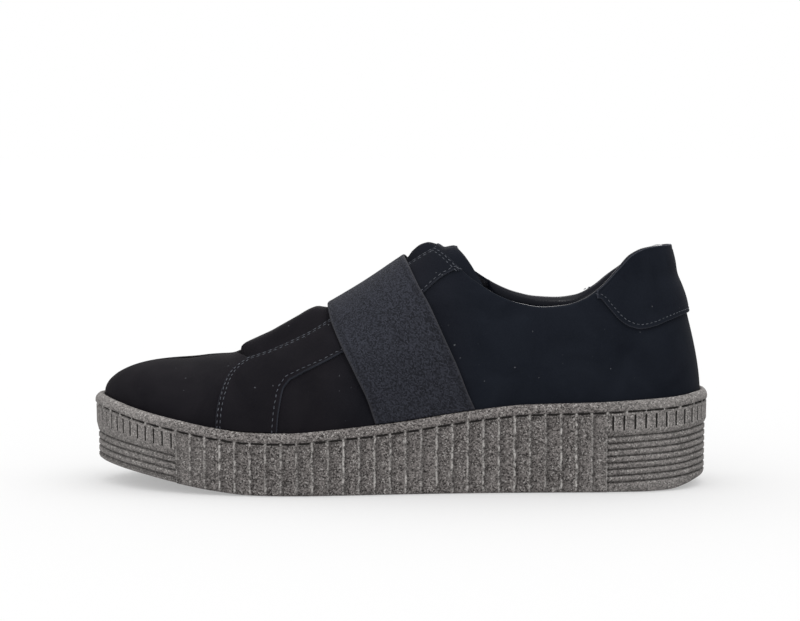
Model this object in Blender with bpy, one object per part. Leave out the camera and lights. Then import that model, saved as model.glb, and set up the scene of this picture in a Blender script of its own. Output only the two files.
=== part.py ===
# Low-top slip-on sneaker with a wide elastic strap, left shoe.
# Metres, +Z up, toe towards -X, outer side of the foot towards -Y, floor at z = 0.
import bmesh
import bpy
import numpy as np

# Named sizes
SOLE_LENGTH = 0.276
BALL_WIDTH = 0.098
RIM_HEIGHT = 0.0405
TOE_SPRING = 0.0105
LAST_HEIGHT = 0.124
CUP_DEPTH = 0.010
RIM_WIDTH = 0.0030
GAP = 0.0003
WALL = 0.0022
OVERLAY = 0.0011
STRAP_THICKNESS = 0.0013
TONGUE_THICKNESS = 0.0048
INSOLE_FRONT = 0.005
INSOLE_HEEL = 0.0088
INSOLE_BEVEL = 0.0012
INSOLE_SHOULDER = 0.86

# Outline of the sole: share of its length from the heel, then the outer and the inner
# half width as shares of half the ball width
OUTLINE = (
    (0.000, 0.000, 0.000),
    (0.0145, 0.350, 0.350),
    (0.047, 0.575, 0.575),
    (0.109, 0.724, 0.706),
    (0.192, 0.770, 0.726),
    (0.301, 0.790, 0.680),
    (0.409, 0.828, 0.655),
    (0.500, 0.886, 0.700),
    (0.591, 0.958, 0.820),
    (0.663, 0.998, 0.935),
    (0.7355, 0.976, 1.000),
    (0.808, 0.895, 0.985),
    (0.873, 0.765, 0.905),
    (0.9275, 0.575, 0.780),
    (0.967, 0.340, 0.610),
    (1.000, -0.140, 0.140),
)

# Along the sole: top of the rim as a share of RIM_HEIGHT, underside as a share of TOE_SPRING
SOLE_HEIGHTS = (
    (0.00, 1.055, 0.40),
    (0.02, 1.052, 0.32),
    (0.04, 1.036, 0.18),
    (0.07, 1.019, 0.03),
    (0.12, 1.001, 0.00),
    (0.19, 0.976, 0.00),
    (0.30, 0.957, 0.00),
    (0.40, 0.885, 0.00),
    (0.50, 0.784, 0.00),
    (0.60, 0.713, 0.00),
    (0.68, 0.674, 0.00),
    (0.74, 0.680, 0.02),
    (0.80, 0.724, 0.17),
    (0.86, 0.795, 0.41),
    (0.92, 0.872, 0.68),
    (0.97, 0.948, 0.88),
    (1.00, 0.985, 1.00),
)

# Columns of the last, from the middle of the heel round to the middle of the toe.
# ROUND is the share of the way round, ALONG where the top of the column lies along the sole,
# SHIFT and HALF its place and half width across in half ball widths, HIGH its height in last
# heights. FLARE and RISE set how the column leaves the sole, REACH and DROP how it meets the top.
ROUND, ALONG, SHIFT, HALF, HIGH, FLARE, RISE, REACH, DROP = range(9)
COLUMNS = (
    (0.00, 0.079, 0.000, 0.000, 1.000, -0.05, 0.200, 0.26, 0.210),
    (0.03, 0.0805, 0.000, 0.105, 1.000, -0.05, 0.200, 0.26, 0.210),
    (0.06, 0.086, 0.000, 0.200, 1.000, -0.05, 0.200, 0.27, 0.208),
    (0.10, 0.0995, 0.000, 0.290, 1.000, -0.04, 0.200, 0.30, 0.200),
    (0.15, 0.130, 0.000, 0.352, 0.997, -0.01, 0.200, 0.36, 0.192),
    (0.20, 0.169, 0.000, 0.385, 0.992, 0.03, 0.200, 0.42, 0.180),
    (0.32, 0.275, 0.000, 0.330, 0.960, 0.10, 0.190, 0.50, 0.120),
    (0.41, 0.380, 0.020, 0.130, 0.925, 0.10, 0.195, 0.66, 0.050),
    (0.45, 0.428, 0.030, 0.020, 0.893, 0.08, 0.205, 0.76, 0.010),
    (0.49, 0.472, 0.040, 0.000, 0.830, 0.06, 0.210, 0.78, 0.000),
    (0.57, 0.565, 0.060, 0.000, 0.692, 0.04, 0.185, 0.66, 0.000),
    (0.635, 0.645, 0.080, 0.000, 0.592, 0.06, 0.145, 0.58, 0.000),
    (0.70, 0.717, 0.100, 0.000, 0.520, 0.10, 0.115, 0.58, 0.000),
    (0.76, 0.777, 0.125, 0.000, 0.468, 0.14, 0.100, 0.60, 0.000),
    (0.82, 0.812, 0.140, 0.000, 0.455, 0.16, 0.085, 0.62, 0.000),
    (0.88, 0.835, 0.150, 0.000, 0.450, 0.14, 0.074, 0.62, 0.000),
    (0.94, 0.851, 0.158, 0.000, 0.447, 0.10, 0.066, 0.62, 0.000),
    (1.00, 0.862, 0.164, 0.000, 0.445, 0.04, 0.062, 0.62, 0.000),
)

# Height of the collar edge in last heights on the outer and the inner side, by share of the
# sole's length from the heel
COLLAR = (
    (0.000, 0.866, 0.866),
    (0.062, 0.866, 0.866),
    (0.080, 0.866, 0.852),
    (0.105, 0.860, 0.828),
    (0.130, 0.838, 0.788),
    (0.155, 0.785, 0.746),
    (0.180, 0.728, 0.700),
    (0.210, 0.681, 0.668),
    (0.240, 0.660, 0.660),
    (0.275, 0.654, 0.664),
    (0.310, 0.666, 0.681),
    (0.345, 0.694, 0.714),
    (0.380, 0.742, 0.764),
    (0.410, 0.794, 0.814),
    (0.435, 0.842, 0.856),
    (0.455, 0.864, 0.875),
    (0.470, 0.880, 0.890),
    (0.490, 1.000, 1.000),
    (1.000, 1.200, 1.200),
)

# Throat: share of the sole's length, then its outer and inner half width in ball widths,
# measured from the ridge of the instep
THROAT = (
    (0.400, 0.140, 0.095),
    (0.455, 0.142, 0.097),
    (0.510, 0.158, 0.118),
    (0.610, 0.215, 0.148),
    (0.670, 0.240, 0.148),
    (0.720, 0.255, 0.140),
    (0.738, 0.255, 0.130),
    (0.752, 0.200, 0.105),
    (0.764, 0.110, 0.070),
    (0.771, 0.010, 0.010),
)
THROAT_FRONT = 0.771

# Seams on the last: share of the way round and share of the way up its column
EYESTAY_FRONT = ((0.746, 0.008), (0.745, 0.20), (0.742, 0.40), (0.738, 0.53), (0.728, 0.62))
EYESTAY_BEND = ((0.660, 0.008), (0.659, 0.12), (0.657, 0.23), (0.654, 0.33), (0.646, 0.383))
EYESTAY_BACK = ((0.646, 0.383), (0.625, 0.41), (0.580, 0.437), (0.530, 0.49), (0.469, 0.575),
                (0.445, 0.63), (0.422, 0.675))
THROAT_CORNER = 0.712
FACING_CORNER = 0.422
STRAP_FRONT = ((0.526, 0.00), (0.538, 0.14), (0.555, 0.28), (0.577, 0.47), (0.595, 0.68),
               (0.606, 0.88), (0.611, 1.00))
STRAP_BACK = ((0.391, 0.00), (0.402, 0.10), (0.416, 0.22), (0.440, 0.38), (0.457, 0.50),
              (0.473, 0.61), (0.494, 0.82), (0.507, 1.00))
HEEL_TAB_EDGE = ((0.00, 0.428), (0.04, 0.426), (0.08, 0.418), (0.11, 0.402), (0.14, 0.378),
                 (0.16, 0.370), (0.175, 0.381), (0.19, 0.410), (0.205, 0.465), (0.22, 0.525))
HEEL_TAB_END = 0.226
# Margins below the cut edge and least heights, as shares of the way up
EYESTAY_MARGIN = 0.004
HEEL_TAB_MARGIN = 0.003
LEAST_OVERLAY = 0.02
STRAP_START = 0.012
STRAP_CLIMB = 0.36

# Tongue: its depth under the facings, how far it runs under them and the margin at their edge
TONGUE_DEPTH = WALL + 4 * GAP
TONGUE_TUCK = 0.007
TONGUE_WIDEST = 0.735
TONGUE_HALF_MOST = 0.026
TONGUE_EDGE = 0.0024
TONGUE_AHEAD = 0.012
# How far round the sides of the tongue's end lean back, growing between these two places
TONGUE_LEAN = 0.041
TONGUE_LEAN_POWER = 2.2
TONGUE_TURN = (0.53, 0.43)
# How far above the last the tongue's middle stands, by share of the sole's length
TONGUE_BULGE = (
    (0.38, -0.0046),
    (0.413, -0.0040),
    (0.427, -0.0048),
    (0.437, -0.0040),
    (0.445, -0.0012),
    (0.4535, 0.0016),
    (0.466, 0.0027),
    (0.478, 0.0022),
    (0.488, 0.0010),
    (0.5, 0.0008),
    (0.52, 0.0010),
    (0.6, 0.0011),
    (0.618, 0.0013),
    (0.626, 0.0029),
    (0.632, 0.0041),
    (0.645, 0.0045),
    (0.665, 0.0040),
    (0.69, 0.0033),
    (0.715, 0.0025),
    (0.739, 0.0023),
    (0.748, 0.0020),
    (0.756, 0.0008),
    (0.762, -0.0033),
    (0.772, -0.0034),
    (1.0, -0.0034),
)

# Sole wall
RIB_COUNT = 28
HEEL_ZONE = 0.174
TOE_ZONE = 0.857
END_CELLS = 14
BAND_DEPTH = 0.0003
LAND_DEPTH = 0.0009
GROOVE_DEPTH = 0.0007
RIB_DEPTH = 0.0009
TICK_DEPTH = 0.0006
# shares of a tick's cell: half its width, its two ends and their slope
TICK_HALF = 0.10
TICK_ENDS = (0.05, 0.93)
TICK_SLOPE = 0.03
TAPER = 0.0004
TAPER_START = 0.005
TOE_BUMPER = 0.0011
BUMPER_START = 0.86
RIM_PROFILE = ((RIM_WIDTH, 0.0003), (0.0019, 0.0), (0.0007, 0.0008), (0.0, 0.0026),
               (0.0, 0.0041), (0.0009, 0.0048))
TICK_BAND = (0.0054, 0.0132)
FIRST_GROOVE = 0.0155
HEEL_GROOVES = (8, 0.00287)
GROOVE_HALF = 0.0006
TOE_GROOVES = (4, 0.00307)
TOE_GROOVE_LIFT = 0.0027
EDGE_ROUND = 0.0020
SILL_DEPTH = 0.0022
TREAD_INSET = 0.008
TREAD_DEPTH = 0.0016

MATERIALS = {
    "rubber_grey": ((0.150, 0.138, 0.134), 0.80),
    "nubuck_black": ((0.018, 0.018, 0.023), 0.92),
    "elastic_grey": ((0.032, 0.035, 0.045), 0.85),
    "footbed_black": ((0.022, 0.022, 0.025), 0.85),
}


# Curve helpers
def smooth_table(rows, column, at):
    """Shape-keeping cubic through one column of a table, read against its first column."""
    x = np.array([row[0] for row in rows], float)
    y = np.array([row[column] for row in rows], float)
    step = np.diff(x)
    slope = np.diff(y) / step
    tangent = np.zeros_like(y)
    for i in range(1, len(x) - 1):
        if slope[i - 1] * slope[i] > 0:
            before = 2 * step[i] + step[i - 1]
            after = step[i] + 2 * step[i - 1]
            tangent[i] = (before + after) / (before / slope[i - 1] + after / slope[i])
    tangent[0] = slope[0]
    tangent[-1] = slope[-1]
    at = np.clip(np.asarray(at, float), x[0], x[-1])
    k = np.clip(np.searchsorted(x, at, side="right") - 1, 0, len(x) - 2)
    t = (at - x[k]) / step[k]
    s = 1 - t
    return ((1 + 2 * t) * s * s * y[k] + t * s * s * step[k] * tangent[k]
            + t * t * (3 - 2 * t) * y[k + 1] - t * t * s * step[k] * tangent[k + 1])


def closed_spline(points, per_span):
    """Closed cubic curve with even curvature through the points."""
    p = np.array(points)
    count = len(p)
    span = np.linalg.norm(np.roll(p, -1, 0) - p, axis=1) ** 0.5
    matrix = np.zeros((count, count))
    right = np.zeros((count, 2))
    for i in range(count):
        last, after = span[i - 1], span[i]
        matrix[i, i - 1] = last
        matrix[i, i] = 2 * (last + after)
        matrix[i, (i + 1) % count] = after
        right[i] = 6 * ((p[(i + 1) % count] - p[i]) / after - (p[i] - p[i - 1]) / last)
    bend = np.linalg.solve(matrix, right)
    t = (np.arange(per_span) / per_span)[:, None]
    s = 1 - t
    pieces = []
    for i in range(count):
        j = (i + 1) % count
        curve = s * p[i] + t * p[j]
        curve = curve + ((s ** 3 - s) * bend[i] + (t ** 3 - t) * bend[j]) * span[i] ** 2 / 6
        pieces.append(curve)
    return np.vstack(pieces)


def share_of(x):
    return 0.5 - np.asarray(x) / SOLE_LENGTH


def rim_z(x):
    return smooth_table(SOLE_HEIGHTS, 1, share_of(x)) * RIM_HEIGHT


def bottom_z(x):
    return smooth_table(SOLE_HEIGHTS, 2, share_of(x)) * TOE_SPRING


# Outline of the sole, one curve for each side from the heel to the toe
class SideOutline:
    def __init__(self, side):
        outer = [((0.5 - r[0]) * SOLE_LENGTH, -r[1] * BALL_WIDTH / 2) for r in OUTLINE]
        inner = [((0.5 - r[0]) * SOLE_LENGTH, r[2] * BALL_WIDTH / 2) for r in OUTLINE[1:-1]]
        per_span = 40
        loop = closed_spline(outer + inner[::-1], per_span)
        toe = (len(OUTLINE) - 1) * per_span
        curve = loop[:toe + 1] if side < 0 else np.vstack([loop[toe:], loop[:1]])[::-1]
        length = np.concatenate([[0], np.cumsum(np.linalg.norm(np.diff(curve, axis=0), axis=1))])
        tangent = np.gradient(curve, length, axis=0)
        normal = np.stack([tangent[:, 1], -tangent[:, 0]], 1) * (-side)
        normal *= np.sign((normal * curve).sum(1).mean())
        normal /= np.linalg.norm(normal, axis=1)[:, None]
        normal[0] = (1, 0)
        normal[-1] = (-1, 0)
        self.share = length / length[-1]
        self.curve = curve
        self.normal = normal

    def at(self, round_share):
        def read(values):
            return np.stack([np.interp(round_share, self.share, values[:, k]) for k in (0, 1)], -1)
        normal = read(self.normal)
        return read(self.curve), normal / np.linalg.norm(normal, axis=-1)[..., None]


OUTER, INNER = -1, 1
SIDES = {OUTER: SideOutline(OUTER), INNER: SideOutline(INNER)}


# The last: one side, a share of the way round and a share of the way up the column there
def last_point(side, around, up):
    around, up = np.broadcast_arrays(np.asarray(around, float), np.asarray(up, float))
    curve, normal = SIDES[side].at(around)
    base = curve - normal * (RIM_WIDTH + GAP)

    def read(column):
        return smooth_table(COLUMNS, column, around)

    top = np.stack([(0.5 - read(ALONG)) * SOLE_LENGTH,
                    (read(SHIFT) + side * read(HALF)) * BALL_WIDTH / 2,
                    read(HIGH) * LAST_HEIGHT], -1)
    start = np.concatenate([base, rim_z(curve[..., 0])[..., None]], -1)
    rise = read(RISE) * LAST_HEIGHT
    leave = start.copy()
    leave[..., :2] += normal * (read(FLARE) * rise)[..., None]
    leave[..., 2] += rise
    meet = top.copy()
    meet[..., :2] += (base - top[..., :2]) * read(REACH)[..., None]
    meet[..., 2] -= read(DROP) * LAST_HEIGHT
    t = np.clip(up, 0, 1)[..., None]
    s = 1 - t
    point = s ** 3 * start + 3 * s * s * t * leave + 3 * s * t * t * meet + t ** 3 * top
    point[..., 2] += np.minimum(up, 0) * CUP_DEPTH
    return point


def side_normal(side, around, up):
    around, up = np.broadcast_arrays(np.asarray(around, float), np.asarray(up, float))
    e = 1e-3
    up = np.where((around > 0.93) & (up > 0.96), 0.96, up)
    along = (last_point(side, np.clip(around + e, 0, 1), up)
             - last_point(side, np.clip(around - e, 0, 1), up))
    low = np.clip(up, -1, 1 - e)
    low = np.where((up > -0.5) & (up < e), 0.0, low)
    rising = last_point(side, around, low + e) - last_point(side, around, low)
    normal = np.cross(along, rising) * side
    return normal / np.linalg.norm(normal, axis=-1)[..., None]


def last_normal(side, around, up):
    """Outward normal, shared by the two sides where they meet."""
    around, up = np.broadcast_arrays(np.asarray(around, float), np.asarray(up, float))
    own = side_normal(side, around, up)
    other = side_normal(-side, around, up)
    closed = smooth_table(COLUMNS, HALF, around) < 1e-6
    shared = (around < 1e-6) | (around > 1 - 1e-6) | (closed & (up > 1 - 1e-6))
    normal = np.where(shared[..., None], own + other, own)
    return normal / np.linalg.norm(normal, axis=-1)[..., None]


def ridge_y(along):
    rows = tuple((row[ALONG], row[SHIFT]) for row in COLUMNS)
    return smooth_table(rows, 1, along) * BALL_WIDTH / 2


def throat_half(side, along):
    return smooth_table(THROAT, 1 if side == OUTER else 2, along) * BALL_WIDTH


FRONT_ROUND = float(np.interp(THROAT_FRONT, [row[ALONG] for row in COLUMNS],
                              [row[ROUND] for row in COLUMNS]))


def cut_share(side, around):
    """Share of the way up at which the collar or the throat cuts the column."""
    steps = np.linspace(0.2, 1.0, 801)
    found = []
    for a in np.atleast_1d(around):
        if a >= FRONT_ROUND - 1e-9:
            found.append(1.0)
            continue
        p = last_point(side, a, steps)
        along = share_of(p[:, 0])
        edge = smooth_table(COLLAR, 1 if side == OUTER else 2, along) * LAST_HEIGHT
        over = p[:, 2] - edge
        inside = throat_half(side, along) - np.abs(p[:, 1] - ridge_y(along))
        inside = np.where((along > 0.43) & (p[:, 2] > 0.05), inside, -1.0)
        value = np.maximum(over, inside)
        k = int(np.argmax(value >= 0))
        if value[k] < 0:
            found.append(1.0)
        elif k == 0:
            found.append(float(steps[0]))
        else:
            t = value[k - 1] / (value[k - 1] - value[k])
            found.append(float(steps[k - 1] + t * (steps[k] - steps[k - 1])))
    return np.array(found)


# Mesh helpers
def add_material(name):
    colour, roughness = MATERIALS[name]
    material = bpy.data.materials.new(name)
    material.use_nodes = True
    shader = material.node_tree.nodes["Principled BSDF"]
    shader.inputs["Base Color"].default_value = (*colour, 1.0)
    shader.inputs["Roughness"].default_value = roughness
    material.diffuse_color = (*colour, 1.0)
    return material


class Builder:
    """Collects corners and faces, then makes one closed object."""

    def __init__(self):
        self.corners = []
        self.faces = []

    def add(self, point):
        self.corners.append(tuple(float(v) for v in point))
        return len(self.corners) - 1

    def add_grid(self, points):
        return np.array([[self.add(p) for p in row] for row in points])

    def face(self, *ids):
        self.faces.append(tuple(int(i) for i in ids))

    def strip(self, first, second):
        for i in range(len(first) - 1):
            self.face(first[i], first[i + 1], second[i + 1], second[i])

    def make(self, name, material):
        mesh = bpy.data.meshes.new(name)
        mesh.from_pydata(self.corners, [], self.faces)
        bm = bmesh.new()
        bm.from_mesh(mesh)
        bmesh.ops.remove_doubles(bm, verts=bm.verts, dist=0.00001)
        bmesh.ops.dissolve_degenerate(bm, edges=bm.edges, dist=0.000005)
        bmesh.ops.recalc_face_normals(bm, faces=bm.faces)
        bm.to_mesh(mesh)
        bm.free()
        mesh.materials.append(material)
        for polygon in mesh.polygons:
            polygon.use_smooth = True
        obj = bpy.data.objects.new(name, mesh)
        part_collection.objects.link(obj)
        obj.parent = root
        return obj


def shell(builder, outer, inner, open_top=None):
    """Closes two facing grids into a solid. open_top says which cells of the last row are rims."""
    a = builder.add_grid(outer)
    b = builder.add_grid(inner)
    for grid in (a, b):
        for i in range(len(grid) - 1):
            builder.strip(grid[i], grid[i + 1])
    if open_top is None:
        builder.strip(a[0], b[0])
        builder.strip(a[-1], b[-1])
        open_top = np.ones(len(a) - 1, bool)
    for i in range(len(a) - 1):
        builder.face(a[i][0], a[i + 1][0], b[i + 1][0], b[i][0])
        if open_top[i]:
            builder.face(a[i][-1], a[i + 1][-1], b[i + 1][-1], b[i][-1])


def spread(*stops):
    """Shares between stops, each given with its number of steps."""
    values = [stops[0]]
    for count, end in stops[1:]:
        values.extend(np.linspace(values[-1], end, count + 1)[1:])
    return np.array(values)


def along_path(points, count):
    """Evenly spaced points on a smooth path through a short list."""
    p = np.array(points, float)
    length = np.concatenate([[0], np.cumsum(np.linalg.norm(np.diff(p, axis=0), axis=1))])
    rows = tuple((length[i] / length[-1], *p[i]) for i in range(len(p)))
    t = np.linspace(0, 1, count)
    return np.stack([smooth_table(rows, k + 1, t) for k in range(p.shape[1])], -1)


def lifted(side, around, up, lift):
    return last_point(side, around, up) + last_normal(side, around, up) * np.asarray(lift)[..., None]


# Cup sole
def build_outsole():
    mesh = Builder()
    stations = spread(0.0, (END_CELLS, HEEL_ROUND), (RIB_COUNT, TOE_ROUND), (END_CELLS, 1.0))
    count = len(stations) - 1
    ring = [(OUTER, a) for a in stations] + [(INNER, a) for a in stations[-2:0:-1]]
    size = len(ring)

    def frame(side, a):
        curve, normal = SIDES[side].at(a)
        return curve, normal, float(rim_z(curve[0]))

    def bumper(a):
        # the wall thickens towards the toe tip
        t = min(max((a - BUMPER_START) / (1 - BUMPER_START), 0.0), 1.0)
        return TOE_BUMPER * t * t * (3 - 2 * t)

    def wall_point(side, a, depth, drop):
        curve, normal, top = frame(side, a)
        height = top - float(bottom_z(curve[0]))
        out = bumper(a) * (1 - depth / RIM_WIDTH)
        x, y = curve - normal * (depth - out + TAPER * max(0.0, drop - TAPER_START) / height)
        return x, y, top - drop

    def low_point(side, a, depth, lift):
        curve, normal, _ = frame(side, a)
        x, y = curve - normal * (depth - bumper(a) * (1 - depth / RIM_WIDTH) + TAPER)
        return x, y, float(bottom_z(curve[0])) + lift

    rim = [[mesh.add(wall_point(s, a, d, z)) for d, z in RIM_PROFILE] for s, a in ring]
    floor = []
    for s, a in ring:
        curve, normal, top = frame(s, a)
        x, y = curve - normal * RIM_WIDTH
        floor.append(mesh.add((x, y, top - CUP_DEPTH)))
    sill = [mesh.add(low_point(s, a, SILL_DEPTH, 0.0)) for s, a in ring]

    def grooved_profile(side, a, kind):
        number, pitch = HEEL_GROOVES if kind == "heel" else TOE_GROOVES
        first = FIRST_GROOVE
        if kind == "toe":
            curve, _, top = frame(side, a)
            first = top - float(bottom_z(curve[0])) - TOE_GROOVE_LIFT - (number - 1) * pitch
        rows = [(BAND_DEPTH, TICK_BAND[0]), (BAND_DEPTH, TICK_BAND[1]),
                (LAND_DEPTH, TICK_BAND[1] + GROOVE_HALF)]
        for i in range(number):
            middle = first + i * pitch
            rows += [(LAND_DEPTH, middle - GROOVE_HALF), (LAND_DEPTH + GROOVE_DEPTH, middle)]
        ids = [mesh.add(wall_point(side, a, d, z)) for d, z in rows]
        return ids + [mesh.add(low_point(side, a, LAND_DEPTH, EDGE_ROUND))]

    def tick_cell(k, j, left, right):
        (side, a), (other, b) = ring[k], ring[j]
        corners = [np.array(mesh.corners[i]) for i in (left[0], right[0], right[1], left[1])]

        def at(u, v):
            return ((1 - u) * (1 - v) * corners[0] + u * (1 - v) * corners[1]
                    + u * v * corners[2] + (1 - u) * v * corners[3])

        normal = SIDES[side].at(a)[1] + SIDES[other].at(b)[1]
        inward = np.array([*(-normal / np.linalg.norm(normal)), 0.0]) * TICK_DEPTH
        left_share, right_share = 0.5 - TICK_HALF, 0.5 + TICK_HALF
        over, under = TICK_ENDS
        tl, tr = mesh.add(at(left_share, over)), mesh.add(at(right_share, over))
        br, bl = mesh.add(at(right_share, under)), mesh.add(at(left_share, under))
        top = mesh.add(at(0.5, over + TICK_SLOPE) + inward)
        bottom = mesh.add(at(0.5, under - TICK_SLOPE) + inward)
        mesh.face(left[0], right[0], tr, tl)
        mesh.face(right[0], right[1], br, tr)
        mesh.face(right[1], left[1], bl, br)
        mesh.face(left[1], left[0], tl, bl)
        mesh.face(tl, top, bottom, bl)
        mesh.face(top, tr, br, bottom)
        mesh.face(tl, tr, top)
        mesh.face(bl, bottom, br)

    def zone(k):
        i = k if k < count else size - 1 - k
        if i < END_CELLS:
            return "heel"
        return "toe" if i >= END_CELLS + RIB_COUNT else "rib"

    grooved = {}
    for k in range(size):
        for cell in (k, (k - 1) % size):
            kind = zone(cell)
            if kind != "rib" and (k, kind) not in grooved:
                grooved[(k, kind)] = grooved_profile(*ring[k], kind)

    crest = {}

    def crest_edge(k):
        if k not in crest:
            side, a = ring[k]
            crest[k] = (mesh.add(wall_point(side, a, 0.0, TICK_BAND[0])),
                        mesh.add(low_point(side, a, 0.0, EDGE_ROUND)))
        return crest[k]

    for k in range(size):
        j = (k + 1) % size
        mesh.strip(rim[k], rim[j])
        mesh.face(floor[k], floor[j], rim[j][0], rim[k][0])
        kind = zone(k)
        if kind == "rib":
            side = ring[k][0] if ring[k][1] < 1 and k != 0 else ring[j][0]
            a, b = ring[k][1], ring[j][1]
            edges = [crest_edge(k)]
            for share, depth in ((0.14, 0.0), (0.27, RIB_DEPTH), (0.73, RIB_DEPTH), (0.86, 0.0)):
                at = a + (b - a) * share
                edges.append((mesh.add(wall_point(side, at, depth, TICK_BAND[0])),
                              mesh.add(low_point(side, at, depth, EDGE_ROUND))))
            edges.append(crest_edge(j))
            for near, far in zip(edges, edges[1:]):
                mesh.face(near[0], far[0], far[1], near[1])
            for upper_id, lower_id, level in ((rim[k][-1], rim[j][-1], 0), (sill[k], sill[j], 1)):
                for i in range(3):
                    mesh.face(upper_id, edges[i][level], edges[i + 1][level])
                mesh.face(upper_id, edges[3][level], lower_id)
                for i in range(3, 5):
                    mesh.face(lower_id, edges[i][level], edges[i + 1][level])
        else:
            left, right = grooved[(k, kind)], grooved[(j, kind)]
            mesh.face(rim[k][-1], rim[j][-1], right[0], left[0])
            tick_cell(k, j, left, right)
            mesh.strip(left[1:], right[1:])
            mesh.face(left[-1], right[-1], sill[j], sill[k])

    for k in range(size):
        kinds = {zone(k), zone((k - 1) % size)}
        if len(kinds) == 2:
            kind = (kinds - {"rib"}).pop()
            mesh.face(rim[k][-1], *grooved[(k, kind)], sill[k], *reversed(crest_edge(k)))

    # Floor of the cup
    def pair(i):
        return i, (size - i) % size

    for i in range(count):
        (p, q), (r, s) = pair(i), pair(i + 1)
        ids = list(dict.fromkeys((floor[p], floor[r], floor[s], floor[q])))
        mesh.face(*ids)

    # Tread: a plain border and level bars across
    def tread_point(side, a, lift):
        curve, normal = SIDES[side].at(a)
        x, y = curve - normal * TREAD_INSET
        return x, y, float(bottom_z(x)) + lift

    border = [mesh.add(tread_point(s, a, 0.0)) for s, a in ring]
    for k in range(size):
        j = (k + 1) % size
        mesh.face(sill[k], sill[j], border[j], border[k])
    for i in range(count):
        (p, q), (r, s) = pair(i), pair(i + 1)
        ids = list(dict.fromkeys((border[p], border[r], border[s], border[q])))
        if i % 2 == 0 or i < 3 or i > count - 4:
            mesh.face(*ids)
            continue
        deep = [mesh.add(tread_point(*ring[n], TREAD_DEPTH)) for n in (p, r, s, q)]
        mesh.face(*deep)
        for n in range(4):
            m = (n + 1) % 4
            mesh.face(ids[n], ids[m], deep[m], deep[n])
    return mesh.make("outsole", materials["rubber_grey"])


# Footbed
def build_insole():
    mesh = Builder()
    stations = UPPER_STATIONS
    ring = [(OUTER, a) for a in stations] + [(INNER, a) for a in stations[-2:0:-1]]
    size = len(ring)
    inset = RIM_WIDTH + GAP + WALL + GAP
    thickness_rows = ((0.0, INSOLE_HEEL), (0.25, INSOLE_HEEL), (0.6, INSOLE_FRONT), (1.0, INSOLE_FRONT))

    def level(side, a, depth, share):
        curve, normal = SIDES[side].at(a)
        x, y = curve - normal * (inset + depth)
        floor = float(rim_z(curve[0])) - CUP_DEPTH + GAP
        thick = float(smooth_table(thickness_rows, 1, share_of(curve[0])))
        return x, y, floor + thick * share

    rows = [[mesh.add(level(s, a, d, z)) for s, a in ring]
            for d, z in ((0.0, 0.0), (0.0, INSOLE_SHOULDER), (INSOLE_BEVEL, 1.0))]
    for low, high in zip(rows, rows[1:]):
        for k in range(size):
            j = (k + 1) % size
            mesh.face(low[k], low[j], high[j], high[k])
    for row in (rows[0], rows[-1]):
        for i in range(len(stations) - 1):
            ids = (row[i], row[i + 1], row[(size - i - 1) % size], row[(size - i) % size])
            mesh.face(*dict.fromkeys(ids))
    return mesh.make("insole", materials["footbed_black"])


# Vamp and quarters, one hollow shell
def build_upper():
    mesh = Builder()
    half = UPPER_STATIONS
    levels = spread(0.0, (7, 1.0))
    foot = -(CUP_DEPTH - GAP) / CUP_DEPTH
    columns = [(OUTER, a) for a in half[::-1]] + [(INNER, a) for a in half[1:]]
    outer, inner = [], []
    for side, a in columns:
        cut = float(cut_share(side, a)[0])
        up = np.concatenate([[foot, 0.0], levels[1:] * cut])
        point = last_point(side, a, up)
        normal = last_normal(side, a, up)
        outer.append(point)
        inner.append(point - normal * WALL)
    rims = [min(columns[i][1], columns[i + 1][1]) < FRONT_ROUND - 1e-6
            for i in range(len(columns) - 1)]
    shell(mesh, outer, inner, rims)
    return mesh.make("upper", materials["nubuck_black"])


# Overlays and strap
def sheet_between(name, material, side, first, second, across, low, high):
    """A sheet ruled between two paths on one side of the last."""
    mesh = Builder()
    t = np.linspace(0, 1, across + 1)[None, :, None]
    path = first[:, None, :] * (1 - t) + second[:, None, :] * t
    around, up = path[..., 0], path[..., 1]
    normal = last_normal(side, around, up)
    point = last_point(side, around, up)
    shell(mesh, point + normal * high, point + normal * low)
    return mesh.make(name, material)


def build_eyestay(name, side):
    corner = float(cut_share(side, THROAT_CORNER)[0])
    front = along_path(EYESTAY_FRONT + ((THROAT_CORNER, corner - EYESTAY_MARGIN),), 8)
    edge_round = spread(THROAT_CORNER, (7, 0.52), (9, FACING_CORNER))
    edge = np.stack([edge_round, cut_share(side, edge_round) - EYESTAY_MARGIN], -1)
    bend = along_path(EYESTAY_BEND, 8)
    back = along_path(EYESTAY_BACK, len(edge_round))
    back[-1, 1] = min(back[-1, 1], edge[-1, 1] - LEAST_OVERLAY)
    first = np.vstack([front, edge[1:]])
    second = np.vstack([bend, back[1:]])
    return sheet_between(name, materials["nubuck_black"], side, first, second, 4,
                         GAP, GAP + OVERLAY)


def build_heel_tab():
    mesh = Builder()
    stations = spread(0.0, (5, 0.14), (7, HEEL_TAB_END))
    columns = [(OUTER, a) for a in stations[::-1]] + [(INNER, a) for a in stations[1:]]
    outer, inner = [], []
    for side, a in columns:
        top = float(cut_share(side, a)[0]) - HEEL_TAB_MARGIN
        low = min(float(smooth_table(HEEL_TAB_EDGE, 1, a)), top - LEAST_OVERLAY)
        up = np.linspace(low, top, 5)
        point = last_point(side, a, up)
        normal = last_normal(side, a, up)
        outer.append(point + normal * (GAP + OVERLAY))
        inner.append(point + normal * GAP)
    shell(mesh, outer, inner)
    return mesh.make("heel_tab", materials["nubuck_black"])


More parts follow.
